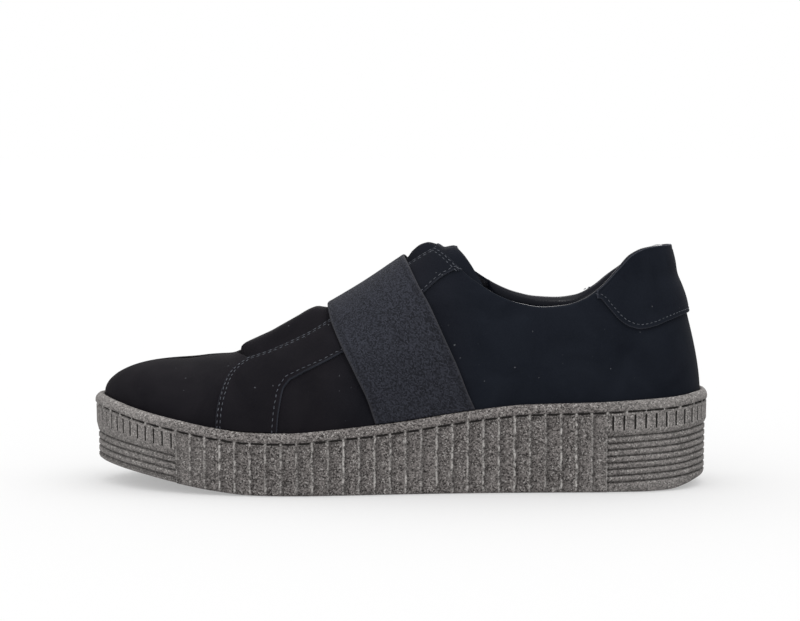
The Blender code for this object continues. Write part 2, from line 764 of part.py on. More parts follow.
def build_strap():
    mesh = Builder()
    ups = spread(STRAP_START, (18, 1.0))
    outer, inner = [], []
    for side, order in ((OUTER, ups), (INNER, ups[-2::-1])):
        for up in order:
            front = float(smooth_table(tuple((r[1], r[0]) for r in STRAP_FRONT), 1, up))
            back = float(smooth_table(tuple((r[1], r[0]) for r in STRAP_BACK), 1, up))
            around = np.linspace(front, back, 4)
            over = np.clip((up - STRAP_START) / STRAP_CLIMB, 0, 1) * np.ones(4)
            # the strap starts on the upper and climbs over the overlay
            lift = GAP + over * over * (3 - 2 * over) * (OVERLAY + GAP + GAP)
            outer.append(lifted(side, around, up, lift + STRAP_THICKNESS))
            inner.append(lifted(side, around, up, lift))
    shell(mesh, outer, inner)
    return mesh.make("strap", materials["elastic_grey"])


# Padded tongue, under the facings at its sides and bulging between them
def tongue_column(side, around, offsets):
    """Points and normals of the last at given distances across from the ridge."""
    ups = np.linspace(0.15, 1.0, 600)
    line = last_point(side, around, ups)
    across = (line[:, 1] - ridge_y(share_of(line[:, 0]))) * side
    top = np.array([line[-1], last_point(-side, around, 1.0)]).mean(0)
    points, normals = [], []
    for offset in offsets:
        up = float(np.interp(-offset, -across, ups))
        point = last_point(side, around, up)
        normal = last_normal(side, around, up)
        if offset < across[-1]:
            share = offset / across[-1]
            point = top * (1 - share) + line[-1] * share
            normal = np.array([normal[0], normal[1] * share, normal[2]])
            normal /= np.linalg.norm(normal)
        points.append(point)
        normals.append(normal)
    return np.array(points), np.array(normals)


def build_tongue():
    mesh = Builder()
    stations = spread(0.795, (2, 0.7455), (1, 0.7390), (3, 0.705), (5, 0.58), (6, 0.440))
    shares = np.array([1.0, 0.82, 0.66, 0.47, 0.24, 0.0])
    padding = np.array([0.40, 0.45, 0.55, 0.85, 1.0, 1.0])
    outer, inner = [], []
    for a in stations:
        rows = []
        for side in (OUTER, INNER):
            along = float(smooth_table(COLUMNS, ALONG, a))
            half = min(float(throat_half(side, min(along, TONGUE_WIDEST))), TONGUE_HALF_MOST)
            turn = (TONGUE_TURN[0] - a) / (TONGUE_TURN[0] - TONGUE_TURN[1])
            turn = min(max(turn, 0.0), 1.0)
            half += TONGUE_TUCK
            point, normal = [], []
            for share in shares:
                shifted = a - TONGUE_LEAN * turn * share ** TONGUE_LEAN_POWER
                p, n = tongue_column(side, shifted, (half * share,))
                point.append(p[0])
                normal.append(n[0])
            point, normal = np.array(point), np.array(normal)
            beside = throat_half(side, share_of(point[:, 0]) + TONGUE_AHEAD) - TONGUE_EDGE
            across = np.abs(point[:, 1] - ridge_y(share_of(point[:, 0])))
            rise = np.clip((beside - across) / np.maximum(beside, 0.001), 0, 1)
            rise = np.clip(rise * 1.6, 0, 1)
            rise = rise * rise * (3 - 2 * rise)
            bulge = smooth_table(TONGUE_BULGE, 1, share_of(point[:, 0]))
            depth = TONGUE_DEPTH - rise * (TONGUE_DEPTH + bulge)
            thick = TONGUE_THICKNESS * padding
            rows.append((point - normal * depth[:, None],
                         point - normal * (depth + thick)[:, None]))
        outer.append(np.vstack([rows[0][0], rows[1][0][::-1][1:]]))
        inner.append(np.vstack([rows[0][1], rows[1][1][::-1][1:]]))
    shell(mesh, outer, inner)
    return mesh.make("tongue", materials["nubuck_black"])


# Scene
for obj in list(bpy.data.objects):
    bpy.data.objects.remove(obj)
part_collection = bpy.data.collections.new("sneaker")
bpy.context.scene.collection.children.link(part_collection)
root = bpy.data.objects.new("root", None)
part_collection.objects.link(root)
materials = {name: add_material(name) for name in MATERIALS}

UPPER_STATIONS = spread(0.0, (11, 0.36), (9, 0.50), (6, 0.70), (5, FRONT_ROUND), (7, 1.0))
outer_curve = SIDES[OUTER].curve
HEEL_ROUND = float(np.interp(HEEL_ZONE, share_of(outer_curve[:, 0]), SIDES[OUTER].share))
TOE_ROUND = float(np.interp(TOE_ZONE, share_of(outer_curve[:, 0]), SIDES[OUTER].share))

build_outsole()
build_insole()
build_upper()
build_tongue()
build_eyestay("eyestay_lateral", OUTER)
build_eyestay("eyestay_medial", INNER)
build_heel_tab()
build_strap()
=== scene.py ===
# Low-top slip-on sneaker with a wide elastic band, left shoe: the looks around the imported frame.
# Metres, toe towards -X, outer side of the foot towards -Y, floor at z = 0.
import math

import bmesh
import bpy
import numpy as np
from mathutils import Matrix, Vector


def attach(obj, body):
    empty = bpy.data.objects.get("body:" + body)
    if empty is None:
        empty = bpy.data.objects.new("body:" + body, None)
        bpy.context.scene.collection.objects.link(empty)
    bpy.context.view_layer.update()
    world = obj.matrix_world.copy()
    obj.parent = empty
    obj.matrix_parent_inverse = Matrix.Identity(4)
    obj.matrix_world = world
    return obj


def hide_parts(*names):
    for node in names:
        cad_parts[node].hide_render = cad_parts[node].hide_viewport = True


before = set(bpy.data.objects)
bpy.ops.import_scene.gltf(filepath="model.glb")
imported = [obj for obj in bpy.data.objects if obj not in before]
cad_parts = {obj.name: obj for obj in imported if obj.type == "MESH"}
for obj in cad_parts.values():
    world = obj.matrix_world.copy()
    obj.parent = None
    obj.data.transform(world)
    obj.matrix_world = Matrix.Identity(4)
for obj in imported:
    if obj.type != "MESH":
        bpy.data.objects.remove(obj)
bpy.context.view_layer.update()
print("frame loaded")

# Shared shape of the shoe
shoe = {
    "soleLength": 0.276,
    "ballWidth": 0.098,
    "rimHeight": 0.0405,
    "toeSpring": 0.0105,
    "lastHeight": 0.124,
    "cupDepth": 0.010,
    "rimWidth": 0.0030,
    "gap": 0.0003,
    "wall": 0.0022,
    "overlay": 0.0011,
}
outerSide, innerSide = -1, 1

# share of the length from the heel, outer and inner half width in half ball widths
outlineTable = (
    (0.000, 0.000, 0.000), (0.0145, 0.350, 0.350), (0.047, 0.575, 0.575), (0.109, 0.724, 0.706),
    (0.192, 0.770, 0.726), (0.301, 0.790, 0.680), (0.409, 0.828, 0.655), (0.500, 0.886, 0.700),
    (0.591, 0.958, 0.820), (0.663, 0.998, 0.935), (0.7355, 0.976, 1.000), (0.808, 0.895, 0.985),
    (0.873, 0.765, 0.905), (0.9275, 0.575, 0.780), (0.967, 0.340, 0.610), (1.000, -0.140, 0.140),
)
# share of the length, rim height in rim heights, underside in toe springs
soleTable = (
    (0.00, 1.055, 0.40), (0.02, 1.052, 0.32), (0.04, 1.036, 0.18), (0.07, 1.019, 0.03),
    (0.12, 1.001, 0.00), (0.19, 0.976, 0.00), (0.30, 0.957, 0.00), (0.40, 0.885, 0.00),
    (0.50, 0.784, 0.00), (0.60, 0.713, 0.00), (0.68, 0.674, 0.00), (0.74, 0.680, 0.02),
    (0.80, 0.724, 0.17), (0.86, 0.795, 0.41), (0.92, 0.872, 0.68), (0.97, 0.948, 0.88),
    (1.00, 0.985, 1.00),
)
# columns of the last from heel to toe, in the order of columnParts
columnParts = ("round", "along", "shift", "half", "high", "flare", "rise", "reach", "drop")
columnTable = (
    (0.00, 0.079, 0.000, 0.000, 1.000, -0.05, 0.200, 0.26, 0.210),
    (0.03, 0.0805, 0.000, 0.105, 1.000, -0.05, 0.200, 0.26, 0.210),
    (0.06, 0.086, 0.000, 0.200, 1.000, -0.05, 0.200, 0.27, 0.208),
    (0.10, 0.0995, 0.000, 0.290, 1.000, -0.04, 0.200, 0.30, 0.200),
    (0.15, 0.130, 0.000, 0.352, 0.997, -0.01, 0.200, 0.36, 0.192),
    (0.20, 0.169, 0.000, 0.385, 0.992, 0.03, 0.200, 0.42, 0.180),
    (0.32, 0.275, 0.000, 0.330, 0.960, 0.10, 0.190, 0.50, 0.120),
    (0.41, 0.380, 0.020, 0.130, 0.925, 0.10, 0.195, 0.66, 0.050),
    (0.45, 0.428, 0.030, 0.020, 0.893, 0.08, 0.205, 0.76, 0.010),
    (0.49, 0.472, 0.040, 0.000, 0.830, 0.06, 0.210, 0.78, 0.000),
    (0.57, 0.565, 0.060, 0.000, 0.692, 0.04, 0.185, 0.66, 0.000),
    (0.635, 0.645, 0.080, 0.000, 0.592, 0.06, 0.145, 0.58, 0.000),
    (0.70, 0.717, 0.100, 0.000, 0.520, 0.10, 0.115, 0.58, 0.000),
    (0.76, 0.777, 0.125, 0.000, 0.468, 0.14, 0.100, 0.60, 0.000),
    (0.82, 0.812, 0.140, 0.000, 0.455, 0.16, 0.085, 0.62, 0.000),
    (0.88, 0.835, 0.150, 0.000, 0.450, 0.14, 0.074, 0.62, 0.000),
    (0.94, 0.851, 0.158, 0.000, 0.447, 0.10, 0.066, 0.62, 0.000),
    (1.00, 0.862, 0.164, 0.000, 0.445, 0.04, 0.062, 0.62, 0.000),
)
# share of the length, height of the collar edge in last heights outside and inside
collarTable = (
    (0.000, 0.866, 0.866), (0.062, 0.866, 0.866), (0.080, 0.866, 0.852), (0.105, 0.860, 0.828),
    (0.130, 0.838, 0.788), (0.155, 0.785, 0.746), (0.180, 0.728, 0.700), (0.210, 0.681, 0.668),
    (0.240, 0.660, 0.660), (0.275, 0.654, 0.664), (0.310, 0.666, 0.681), (0.345, 0.694, 0.714),
    (0.380, 0.742, 0.764), (0.410, 0.794, 0.814), (0.435, 0.842, 0.856), (0.455, 0.864, 0.875),
    (0.470, 0.880, 0.890), (0.490, 1.000, 1.000), (1.000, 1.200, 1.200),
)
# share of the length, half width of the throat outside and inside in ball widths
throatTable = (
    (0.400, 0.140, 0.095), (0.455, 0.142, 0.097), (0.510, 0.158, 0.118), (0.610, 0.215, 0.148),
    (0.670, 0.240, 0.148), (0.720, 0.255, 0.140), (0.738, 0.255, 0.130), (0.752, 0.200, 0.105),
    (0.764, 0.110, 0.070), (0.771, 0.010, 0.010),
)
throatFront, throatBack, throatLow = 0.771, 0.43, 0.05
outlinePoints = 80
nudge = 1e-3  # step for slopes on the last, as a share


# Shape-keeping cubic through one column of a table.
def smoothTable(rows, column, at):
    x = np.array([row[0] for row in rows], float)
    y = np.array([row[column] for row in rows], float)
    step = np.diff(x)
    slope = np.diff(y) / step
    tangent = np.zeros_like(y)
    for i in range(1, len(x) - 1):
        if slope[i - 1] * slope[i] > 0:
            before = 2 * step[i] + step[i - 1]
            after = step[i] + 2 * step[i - 1]
            tangent[i] = (before + after) / (before / slope[i - 1] + after / slope[i])
    tangent[0], tangent[-1] = slope[0], slope[-1]
    at = np.clip(np.asarray(at, float), x[0], x[-1])
    k = np.clip(np.searchsorted(x, at, side="right") - 1, 0, len(x) - 2)
    t = (at - x[k]) / step[k]
    s = 1 - t
    return ((1 + 2 * t) * s * s * y[k] + t * s * s * step[k] * tangent[k]
            + t * t * (3 - 2 * t) * y[k + 1] - t * t * s * step[k] * tangent[k + 1])


# Distance run from the first point of a line to each of its points
def lengthAlong(line):
    return np.concatenate([[0], np.cumsum(np.linalg.norm(np.diff(line, axis=0), axis=1))])


# Closed curve with even bending through the points.
def closedSpline(points, perSpan):
    p = np.array(points)
    count = len(p)
    span = np.linalg.norm(np.roll(p, -1, 0) - p, axis=1) ** 0.5
    matrix = np.zeros((count, count))
    right = np.zeros((count, 2))
    for i in range(count):
        last, after = span[i - 1], span[i]
        matrix[i, i - 1] = last
        matrix[i, i] = 2 * (last + after)
        matrix[i, (i + 1) % count] = after
        right[i] = 6 * ((p[(i + 1) % count] - p[i]) / after - (p[i] - p[i - 1]) / last)
    bend = np.linalg.solve(matrix, right)
    t = (np.arange(perSpan) / perSpan)[:, None]
    s = 1 - t
    pieces = []
    for i in range(count):
        j = (i + 1) % count
        curve = s * p[i] + t * p[j]
        curve = curve + ((s ** 3 - s) * bend[i] + (t ** 3 - t) * bend[j]) * span[i] ** 2 / 6
        pieces.append(curve)
    return np.vstack(pieces)


def shareOf(x):
    return 0.5 - np.asarray(x) / shoe["soleLength"]


def rimZ(x):
    return smoothTable(soleTable, 1, shareOf(x)) * shoe["rimHeight"]


def bottomZ(x):
    return smoothTable(soleTable, 2, shareOf(x)) * shoe["toeSpring"]


# Edge of the sole on one side, from heel to toe
def makeOutline(side):
    length, half = shoe["soleLength"], shoe["ballWidth"] / 2
    outer = [((0.5 - r[0]) * length, -r[1] * half) for r in outlineTable]
    inner = [((0.5 - r[0]) * length, r[2] * half) for r in outlineTable[1:-1]]
    loop = closedSpline(outer + inner[::-1], outlinePoints)
    toe = (len(outlineTable) - 1) * outlinePoints
    curve = loop[:toe + 1] if side < 0 else np.vstack([loop[toe:], loop[:1]])[::-1]
    run = lengthAlong(curve)
    tangent = np.gradient(curve, run, axis=0)
    normal = np.stack([tangent[:, 1], -tangent[:, 0]], 1) * (-side)
    normal *= np.sign((normal * curve).sum(1).mean())
    normal /= np.linalg.norm(normal, axis=1)[:, None]
    normal[0], normal[-1] = (1, 0), (-1, 0)
    return {"share": run / run[-1], "curve": curve, "normal": normal, "length": run[-1]}


outlines = {side: makeOutline(side) for side in (outerSide, innerSide)}


def outlineAt(side, around):
    line = outlines[side]

    def read(values):
        return np.stack([np.interp(around, line["share"], values[:, k]) for k in (0, 1)], -1)

    normal = read(line["normal"])
    return read(line["curve"]), normal / np.linalg.norm(normal, axis=-1)[..., None]


def columnValue(part, around):
    return smoothTable(columnTable, columnParts.index(part), around)


# Point of the last: share of the way round one side, share of the way up.
def lastPoint(side, around, up):
    around, up = np.broadcast_arrays(np.asarray(around, float), np.asarray(up, float))
    curve, normal = outlineAt(side, around)
    base = curve - normal * (shoe["rimWidth"] + shoe["gap"])
    tall, half = shoe["lastHeight"], shoe["ballWidth"] / 2
    top = np.stack([(0.5 - columnValue("along", around)) * shoe["soleLength"],
                    (columnValue("shift", around) + side * columnValue("half", around)) * half,
                    columnValue("high", around) * tall], -1)
    start = np.concatenate([base, rimZ(curve[..., 0])[..., None]], -1)
    rise = columnValue("rise", around) * tall
    leave = start.copy()
    leave[..., :2] += normal * (columnValue("flare", around) * rise)[..., None]
    leave[..., 2] += rise
    meet = top.copy()
    meet[..., :2] += (base - top[..., :2]) * columnValue("reach", around)[..., None]
    meet[..., 2] -= columnValue("drop", around) * tall
    t = np.clip(up, 0, 1)[..., None]
    s = 1 - t
    point = s ** 3 * start + 3 * s * s * t * leave + 3 * s * t * t * meet + t ** 3 * top
    point[..., 2] += np.minimum(up, 0) * shoe["cupDepth"]
    return point


# Outward normal of one side alone
def sideNormal(side, around, up):
    around, up = np.broadcast_arrays(np.asarray(around, float), np.asarray(up, float))
    up = np.where((around > 0.93) & (up > 0.96), 0.96, up)  # near the toe the tops of the columns close up
    along = (lastPoint(side, np.clip(around + nudge, 0, 1), up)
             - lastPoint(side, np.clip(around - nudge, 0, 1), up))
    low = np.clip(up, -1, 1 - nudge)
    low = np.where((up > -0.5) & (up < nudge), 0.0, low)
    rising = lastPoint(side, around, low + nudge) - lastPoint(side, around, low)
    normal = np.cross(along, rising) * side
    return normal / np.linalg.norm(normal, axis=-1)[..., None]


# Outward normal, shared by the two sides where they meet.
def lastNormal(side, around, up):
    around, up = np.broadcast_arrays(np.asarray(around, float), np.asarray(up, float))
    own = sideNormal(side, around, up)
    other = sideNormal(-side, around, up)
    closed = columnValue("half", around) < 1e-6
    shared = (around < 1e-6) | (around > 1 - 1e-6) | (closed & (up > 1 - 1e-6))
    normal = np.where(shared[..., None], own + other, own)
    return normal / np.linalg.norm(normal, axis=-1)[..., None]


# Direction up the last
def upDirection(side, around, up):
    low = np.clip(np.asarray(up, float), 0, 1 - nudge)
    rising = lastPoint(side, around, low + nudge) - lastPoint(side, around, low)
    return rising / np.linalg.norm(rising, axis=-1)[..., None]


def ridgeY(along):
    rows = tuple((row[1], row[2]) for row in columnTable)
    return smoothTable(rows, 1, along) * shoe["ballWidth"] / 2


def throatHalf(side, along):
    return smoothTable(throatTable, 1 if side == outerSide else 2, along) * shoe["ballWidth"]


frontRound = float(np.interp(throatFront, [row[1] for row in columnTable],
                             [row[0] for row in columnTable]))


# Share of the way up at which the collar or the throat ends the column.
def cutShare(side, around):
    steps = np.linspace(0.2, 1.0, 1201)
    found = []
    for a in np.atleast_1d(around):
        if a >= frontRound - 1e-9:
            found.append(1.0)
            continue
        p = lastPoint(side, a, steps)
        along = shareOf(p[:, 0])
        edge = smoothTable(collarTable, 1 if side == outerSide else 2, along) * shoe["lastHeight"]
        inside = throatHalf(side, along) - np.abs(p[:, 1] - ridgeY(along))
        inside = np.where((along > throatBack) & (p[:, 2] > throatLow), inside, -1.0)
        value = np.maximum(p[:, 2] - edge, inside)
        k = int(np.argmax(value >= 0))
        if value[k] < 0:
            found.append(1.0)
        elif k == 0:
            found.append(float(steps[0]))
        else:
            t = value[k - 1] / (value[k - 1] - value[k])
            found.append(float(steps[k - 1] + t * (steps[k] - steps[k - 1])))
    return np.array(found)


cutStations = np.linspace(0.0, 1.0, 801)
cutTables = {side: cutShare(side, cutStations) for side in (outerSide, innerSide)}


def cutAt(side, around):
    return np.interp(around, cutStations, cutTables[side])


creaseEnds, calmHeight = 0.35, 0.12  # share of a crease's depth at its ends, share of the way up it starts

# Soft creases: which side (0 both), which plane they are measured in,
# start, end, half width, depth. A minus depth is a ridge.
creases = (
    (0, "xz", (0.104, 0.0925), (0.140, 0.0955), 0.0042, 0.0007),
    (0, "xz", (0.100, 0.0820), (0.140, 0.0830), 0.0050, -0.0004),
    (-1, "xz", (0.018, 0.0790), (0.034, 0.0560), 0.0060, 0.0005),
    (-1, "xz", (0.030, 0.0760), (0.047, 0.0580), 0.0050, -0.0004),
    (-1, "xz", (0.052, 0.0660), (0.088, 0.0620), 0.0080, 0.0005),
    (-1, "xz", (0.080, 0.0540), (0.112, 0.0600), 0.0090, 0.0004),
    (-1, "xz", (-0.112, 0.0520), (-0.086, 0.0560), 0.0060, 0.0004),
    (0, "xy", (-0.0760, -0.016), (-0.0770, 0.024), 0.0040, 0.0006),
    (0, "xy", (-0.0860, -0.020), (-0.0880, 0.028), 0.0048, -0.0003),
    (1, "xz", (0.010, 0.0760), (0.030, 0.0540), 0.0060, 0.0005),
    (1, "xz", (0.026, 0.0740), (0.050, 0.0600), 0.0055, -0.0004),
    (1, "xz", (-0.036, 0.0480), (-0.014, 0.0540), 0.0070, 0.0005),
    (1, "xz", (0.060, 0.0600), (0.100, 0.0560), 0.0080, 0.0005),
)


# How far the soft creases move the skin along its normal.
def creaseLift(point, side):
    lift = np.zeros(point.shape[:-1])
    for onSide, plane, start, end, width, depth in creases:
        if onSide and onSide != side:
            continue
        flat = point[..., (0, 2)] if plane == "xz" else point[..., (0, 1)]
        start, end = np.array(start), np.array(end)
        line = end - start
        t = np.clip(((flat - start) @ line) / (line @ line), 0, 1)
        away = np.linalg.norm(flat - start - t[..., None] * line, axis=-1)
        swell = creaseEnds + (1 - creaseEnds) * np.sin(math.pi * t)
        lift -= depth * np.exp(-(away / width) ** 2) * swell
    return lift


# Point a lift above the creased skin of the upper, and the normal there.
def skinPoint(side, around, up, lift):
    point = lastPoint(side, around, up)
    normal = lastNormal(side, around, up)
    calm = np.clip(np.asarray(up, float) / calmHeight, 0, 1)  # the skin is held still at the rim
    total = np.asarray(lift, float) + creaseLift(point, side) * calm
    return point + normal * total[..., None], normal


# Numbers from the first stop on, each later stop reached in its count of steps
def spread(*stops):
    values = [stops[0]]
    for count, end in stops[1:]:
        values.extend(np.linspace(values[-1], end, count + 1)[1:])
    return np.array(values)


# Smooth path through the points, as a count of points
def alongPath(points, count):
    p = np.array(points, float)
    run = lengthAlong(p)
    rows = tuple((run[i] / run[-1], *p[i]) for i in range(len(p)))
    t = np.linspace(0, 1, count)
    return np.stack([smoothTable(rows, k + 1, t) for k in range(p.shape[1])], -1)


print("shape ready")


# The same calls on both sides at once: a place is minus the way round outside, plus inside
def bothSides(call, place, *values):
    place = np.asarray(place, float)
    outer = call(outerSide, np.abs(place), *values)
    inner = call(innerSide, np.abs(place), *values)
    if isinstance(outer, tuple):
        return tuple(np.where((place < 0)[..., None], a, b) for a, b in zip(outer, inner))
    return np.where((place < 0)[..., None], outer, inner)


def placedLast(place, up):
    place, up = np.broadcast_arrays(np.asarray(place, float), np.asarray(up, float))
    return bothSides(lastPoint, place, up)


def placedNormal(place, up):
    place, up = np.broadcast_arrays(np.asarray(place, float), np.asarray(up, float))
    return bothSides(lastNormal, place, up)


def placedSkin(place, up, lift):
    place, up, lift = np.broadcast_arrays(*(np.asarray(v, float) for v in (place, up, lift)))
    return bothSides(skinPoint, place, up, lift)


def placedCut(place):
    place = np.asarray(place, float)
    return np.where(place < 0, cutAt(outerSide, np.abs(place)), cutAt(innerSide, np.abs(place)))


# Moves a path of places sideways by a distance in metres, to its left seen from outside.
def offsetPath(path, distance):
    path = np.asarray(path, float)
    e = 2e-3
    place, up = path[:, 0], path[:, 1]
    byPlace = (placedLast(place + e, up) - placedLast(place - e, up)) / (2 * e)
    byUp = (placedLast(place, up + e) - placedLast(place, up - e)) / (2 * e)
    tangent = np.gradient(placedLast(place, up), axis=0)
    tangent /= np.linalg.norm(tangent, axis=1)[:, None]
    sideways = np.cross(placedNormal(place, up), tangent) * np.reshape(distance, (-1, 1))
    moved = path.copy()
    for i in range(len(path)):
        matrix = np.stack([byPlace[i], byUp[i]], 1)
        moved[i] += np.linalg.lstsq(matrix, sideways[i], rcond=None)[0]
    return moved


# The same path with points a step apart on the last.
def evenPath(path, step):
    path = np.asarray(path, float)
    run = lengthAlong(placedLast(path[:, 0], path[:, 1]))
    at = np.linspace(0, run[-1], max(3, int(run[-1] / step) + 1))
    return np.stack([np.interp(at, run, path[:, k]) for k in (0, 1)], -1)


def gridFaces(ids, wrap=False):
    ids = np.asarray(ids)
    if wrap:
        ids = np.vstack([ids, ids[:1]])
    a, b, c, d = ids[:-1, :-1], ids[1:, :-1], ids[1:, 1:], ids[:-1, 1:]
    return np.stack([a, b, c, d], -1).reshape(-1, 4).tolist()


# Points and faces of a thin closed sheet between two grids of points
def closedSheet(top, under):
    ids = np.arange(top.shape[0] * top.shape[1]).reshape(top.shape[:2])
    low = ids + ids.size
    faces = gridFaces(ids) + gridFaces(low)
    for pair in ((ids[0], low[0]), (ids[-1], low[-1]), (ids[:, 0], low[:, 0]), (ids[:, -1], low[:, -1])):
        faces += gridFaces(np.stack(pair, 1))
    return np.concatenate([top.reshape(-1, 3), under.reshape(-1, 3)]), faces


# Places once round the shoe from those of one side, and whether each lies at an open edge
def ringPlaces(half):
    ring = np.concatenate([-half, half[-2:0:-1]])
    ring[0] = -1e-9
    return ring, np.abs(ring) < frontRound - 1e-9


# Points and faces of a hollow shell: up outside, over the edge where it is open, down inside
def hollowShell(outer, edge, inner, isOpen):
    points = np.concatenate([outer, edge, inner[:, ::-1]], 1)
    ids = np.arange(points.shape[0] * points.shape[1]).reshape(points.shape[:2])
    first, last = outer.shape[1], outer.shape[1] + edge.shape[1]
    faces = gridFaces(ids[:, :first], wrap=True) + gridFaces(ids[:, last:], wrap=True)
    faces += gridFaces(ids[:, [-1, 0]], wrap=True)
    for k in range(len(ids)):
        j = (k + 1) % len(ids)
        if isOpen[k] or isOpen[j]:
            faces += gridFaces(ids[[k, j], first - 1:last + 1])
    return points, faces


# Turns points and faces into a finished object: welded, closed, faces outward, shaded smooth.
def makePiece(name, points, faces, materials, uv=None, values=None, slots=None, weld=2e-6):
    mesh = bpy.data.meshes.new(name)
    mesh.from_pydata(np.asarray(points, float).tolist(), [], faces)
    for key, data in (values or {}).items():
        data = np.asarray(data, np.float32)
        kind = "FLOAT_VECTOR" if data.ndim == 2 else "FLOAT"
        layer = mesh.attributes.new(key, kind, "POINT")
        layer.data.foreach_set("vector" if data.ndim == 2 else "value", data.ravel())
    if uv is not None:
        corners = np.empty(len(mesh.loops), np.int32)
        mesh.loops.foreach_get("vertex_index", corners)
        layer = mesh.uv_layers.new(name="UVMap")
        layer.data.foreach_set("uv", np.asarray(uv, np.float32)[corners].ravel())
    if slots is not None:
        mesh.polygons.foreach_set("material_index", np.asarray(slots, np.int32))
    bm = bmesh.new()
    bm.from_mesh(mesh)
    bmesh.ops.remove_doubles(bm, verts=bm.verts, dist=weld)
    bmesh.ops.dissolve_degenerate(bm, edges=bm.edges, dist=1e-7)
    bmesh.ops.recalc_face_normals(bm, faces=bm.faces)
    for face in bm.faces:
        face.smooth = True
    bm.to_mesh(mesh)
    bm.free()
    for material in materials:
        mesh.materials.append(material)
    piece = bpy.data.objects.new(name, mesh)
    bpy.context.scene.collection.objects.link(piece)
    return piece


# Node helpers, for materials and for Geometry Nodes alike
def feed(tree, socket, value):
    if isinstance(value, bpy.types.NodeSocket):
        tree.links.new(value, socket)
    else:
        socket.default_value = value


def addNode(tree, kind, inputs=None, **settings):
    node = tree.nodes.new(kind)
    for key, value in settings.items():
        setattr(node, key, value)
    for key, value in (inputs or {}).items():
        feed(tree, node.inputs[key], value)
    return node


def maths(tree, operation, *values):
    node = addNode(tree, "ShaderNodeMath", operation=operation)
    for socket, value in zip(node.inputs, values):
        feed(tree, socket, value)
    return node.outputs[0]


def times(tree, first, *others):
    for other in others:
        first = maths(tree, "MULTIPLY", first, other)
    return first


def plus(tree, first, *others):
    for other in others:
        first = maths(tree, "ADD", first, other)
    return first


def minus(tree, first, second):
    return maths(tree, "SUBTRACT", first, second)


# 1 at each whole number of a phase, 0 half way between
def nearWhole(tree, phase):
    return maths(tree, "ABSOLUTE", minus(tree, times(tree, maths(tree, "FRACT", phase), 2.0), 1.0))


def scaled(tree, vector, by):
    return addNode(tree, "ShaderNodeVectorMath", {0: vector, "Scale": by}, operation="SCALE").outputs[0]


def ramp(tree, value, low, high, toLow=0.0, toHigh=1.0):
    return addNode(tree, "ShaderNodeMapRange", {"Value": value, "From Min": low, "From Max": high,
                                                "To Min": toLow, "To Max": toHigh}).outputs[0]


def noise(tree, place, scale, detail=2.0, roughness=0.5, distortion=0.0):
    return addNode(tree, "ShaderNodeTexNoise", {"Vector": place, "Scale": scale, "Detail": detail,
                                                "Roughness": roughness, "Distortion": distortion})


def painted(tree, name):
    return addNode(tree, "ShaderNodeAttribute", attribute_name=name).outputs["Fac"]


def mixColour(tree, factor, first, second):
    node = addNode(tree, "ShaderNodeMix", data_type="RGBA")
    for index, value in ((0, factor), (6, first), (7, second)):
        feed(tree, node.inputs[index], (*value, 1.0) if isinstance(value, tuple) else value)
    return node.outputs[2]


def makeGroup(name, kind, ins, outs):
    tree = bpy.data.node_groups.new(name, kind)
    for label, socketType, default in ins:
        socket = tree.interface.new_socket(name=label, in_out="INPUT", socket_type=socketType)
        if default is not None:
            socket.default_value = default
    for label, socketType in outs:
        tree.interface.new_socket(name=label, in_out="OUTPUT", socket_type=socketType)
    return tree, addNode(tree, "NodeGroupInput").outputs, addNode(tree, "NodeGroupOutput")


# A group for materials: a place and some numbers in, some masks out
def makeSurfaceGroup(name, numbers, masks):
    ins = [("Vector", "NodeSocketVector", None)]
    ins += [(label, "NodeSocketFloat", value) for label, value in numbers.items()]
    return makeGroup(name, "ShaderNodeTree", ins, [(label, "NodeSocketFloat") for label in masks])


def putOut(tree, end, values):
    for key, value in values.items():
        tree.links.new(value, end.inputs[key])
    return tree


# Brushed nap: fine fibre, large brushed patches and a few specks of lint
def makeNapGroup():
    tree, start, end = makeSurfaceGroup("brushedNap", {"Fibre": 2600.0, "Patch": 46.0, "Lint": 380.0},
                                        ("Shade", "Lint", "Height"))
    fibre = noise(tree, start["Vector"], start["Fibre"], 3.0, 0.6)
    patch = noise(tree, start["Vector"], start["Patch"], 3.0, 0.55, 0.6)
    bent = addNode(tree, "ShaderNodeVectorMath", {
        0: start["Vector"], 1: scaled(tree, fibre.outputs["Color"], 0.0009)}, operation="ADD")
    cells = addNode(tree, "ShaderNodeTexVoronoi", {"Vector": bent.outputs[0], "Scale": start["Lint"]})
    chance = addNode(tree, "ShaderNodeSeparateColor", {"Color": cells.outputs["Color"]})
    size = ramp(tree, chance.outputs[0], 0.86, 1.0, 0.0, 0.16)
    lint = maths(tree, "LESS_THAN", cells.outputs["Distance"], size)
    shade = plus(tree, times(tree, fibre.outputs[0], 0.45), times(tree, patch.outputs[0], 0.55))
    return putOut(tree, end, {"Shade": shade, "Lint": lint,
                              "Height": plus(tree, fibre.outputs[0], times(tree, lint, 2.0))})


# Moulded rubber full of ground crumb: light and dark grains, soft cloud
def makeCrumbGroup():
    tree, start, end = makeSurfaceGroup("rubberCrumb", {"Grain": 1900.0}, ("Shade", "Spark", "Height"))
    grain = addNode(tree, "ShaderNodeTexVoronoi", {"Vector": start["Vector"], "Scale": start["Grain"]})
    tone = addNode(tree, "ShaderNodeSeparateColor", {"Color": grain.outputs["Color"]})
    small = noise(tree, start["Vector"], times(tree, start["Grain"], 0.55), 4.0, 0.7).outputs[0]
    cloud = noise(tree, start["Vector"], 60.0).outputs[0]
    shade = plus(tree, times(tree, tone.outputs[0], 0.45),
                 plus(tree, times(tree, ramp(tree, small, 0.3, 0.7), 0.40), times(tree, cloud, 0.15)))
    return putOut(tree, end, {"Shade": shade, "Spark": maths(tree, "GREATER_THAN", tone.outputs[1], 0.93),
                              "Height": plus(tree, small, times(tree, tone.outputs[0], 0.3))})


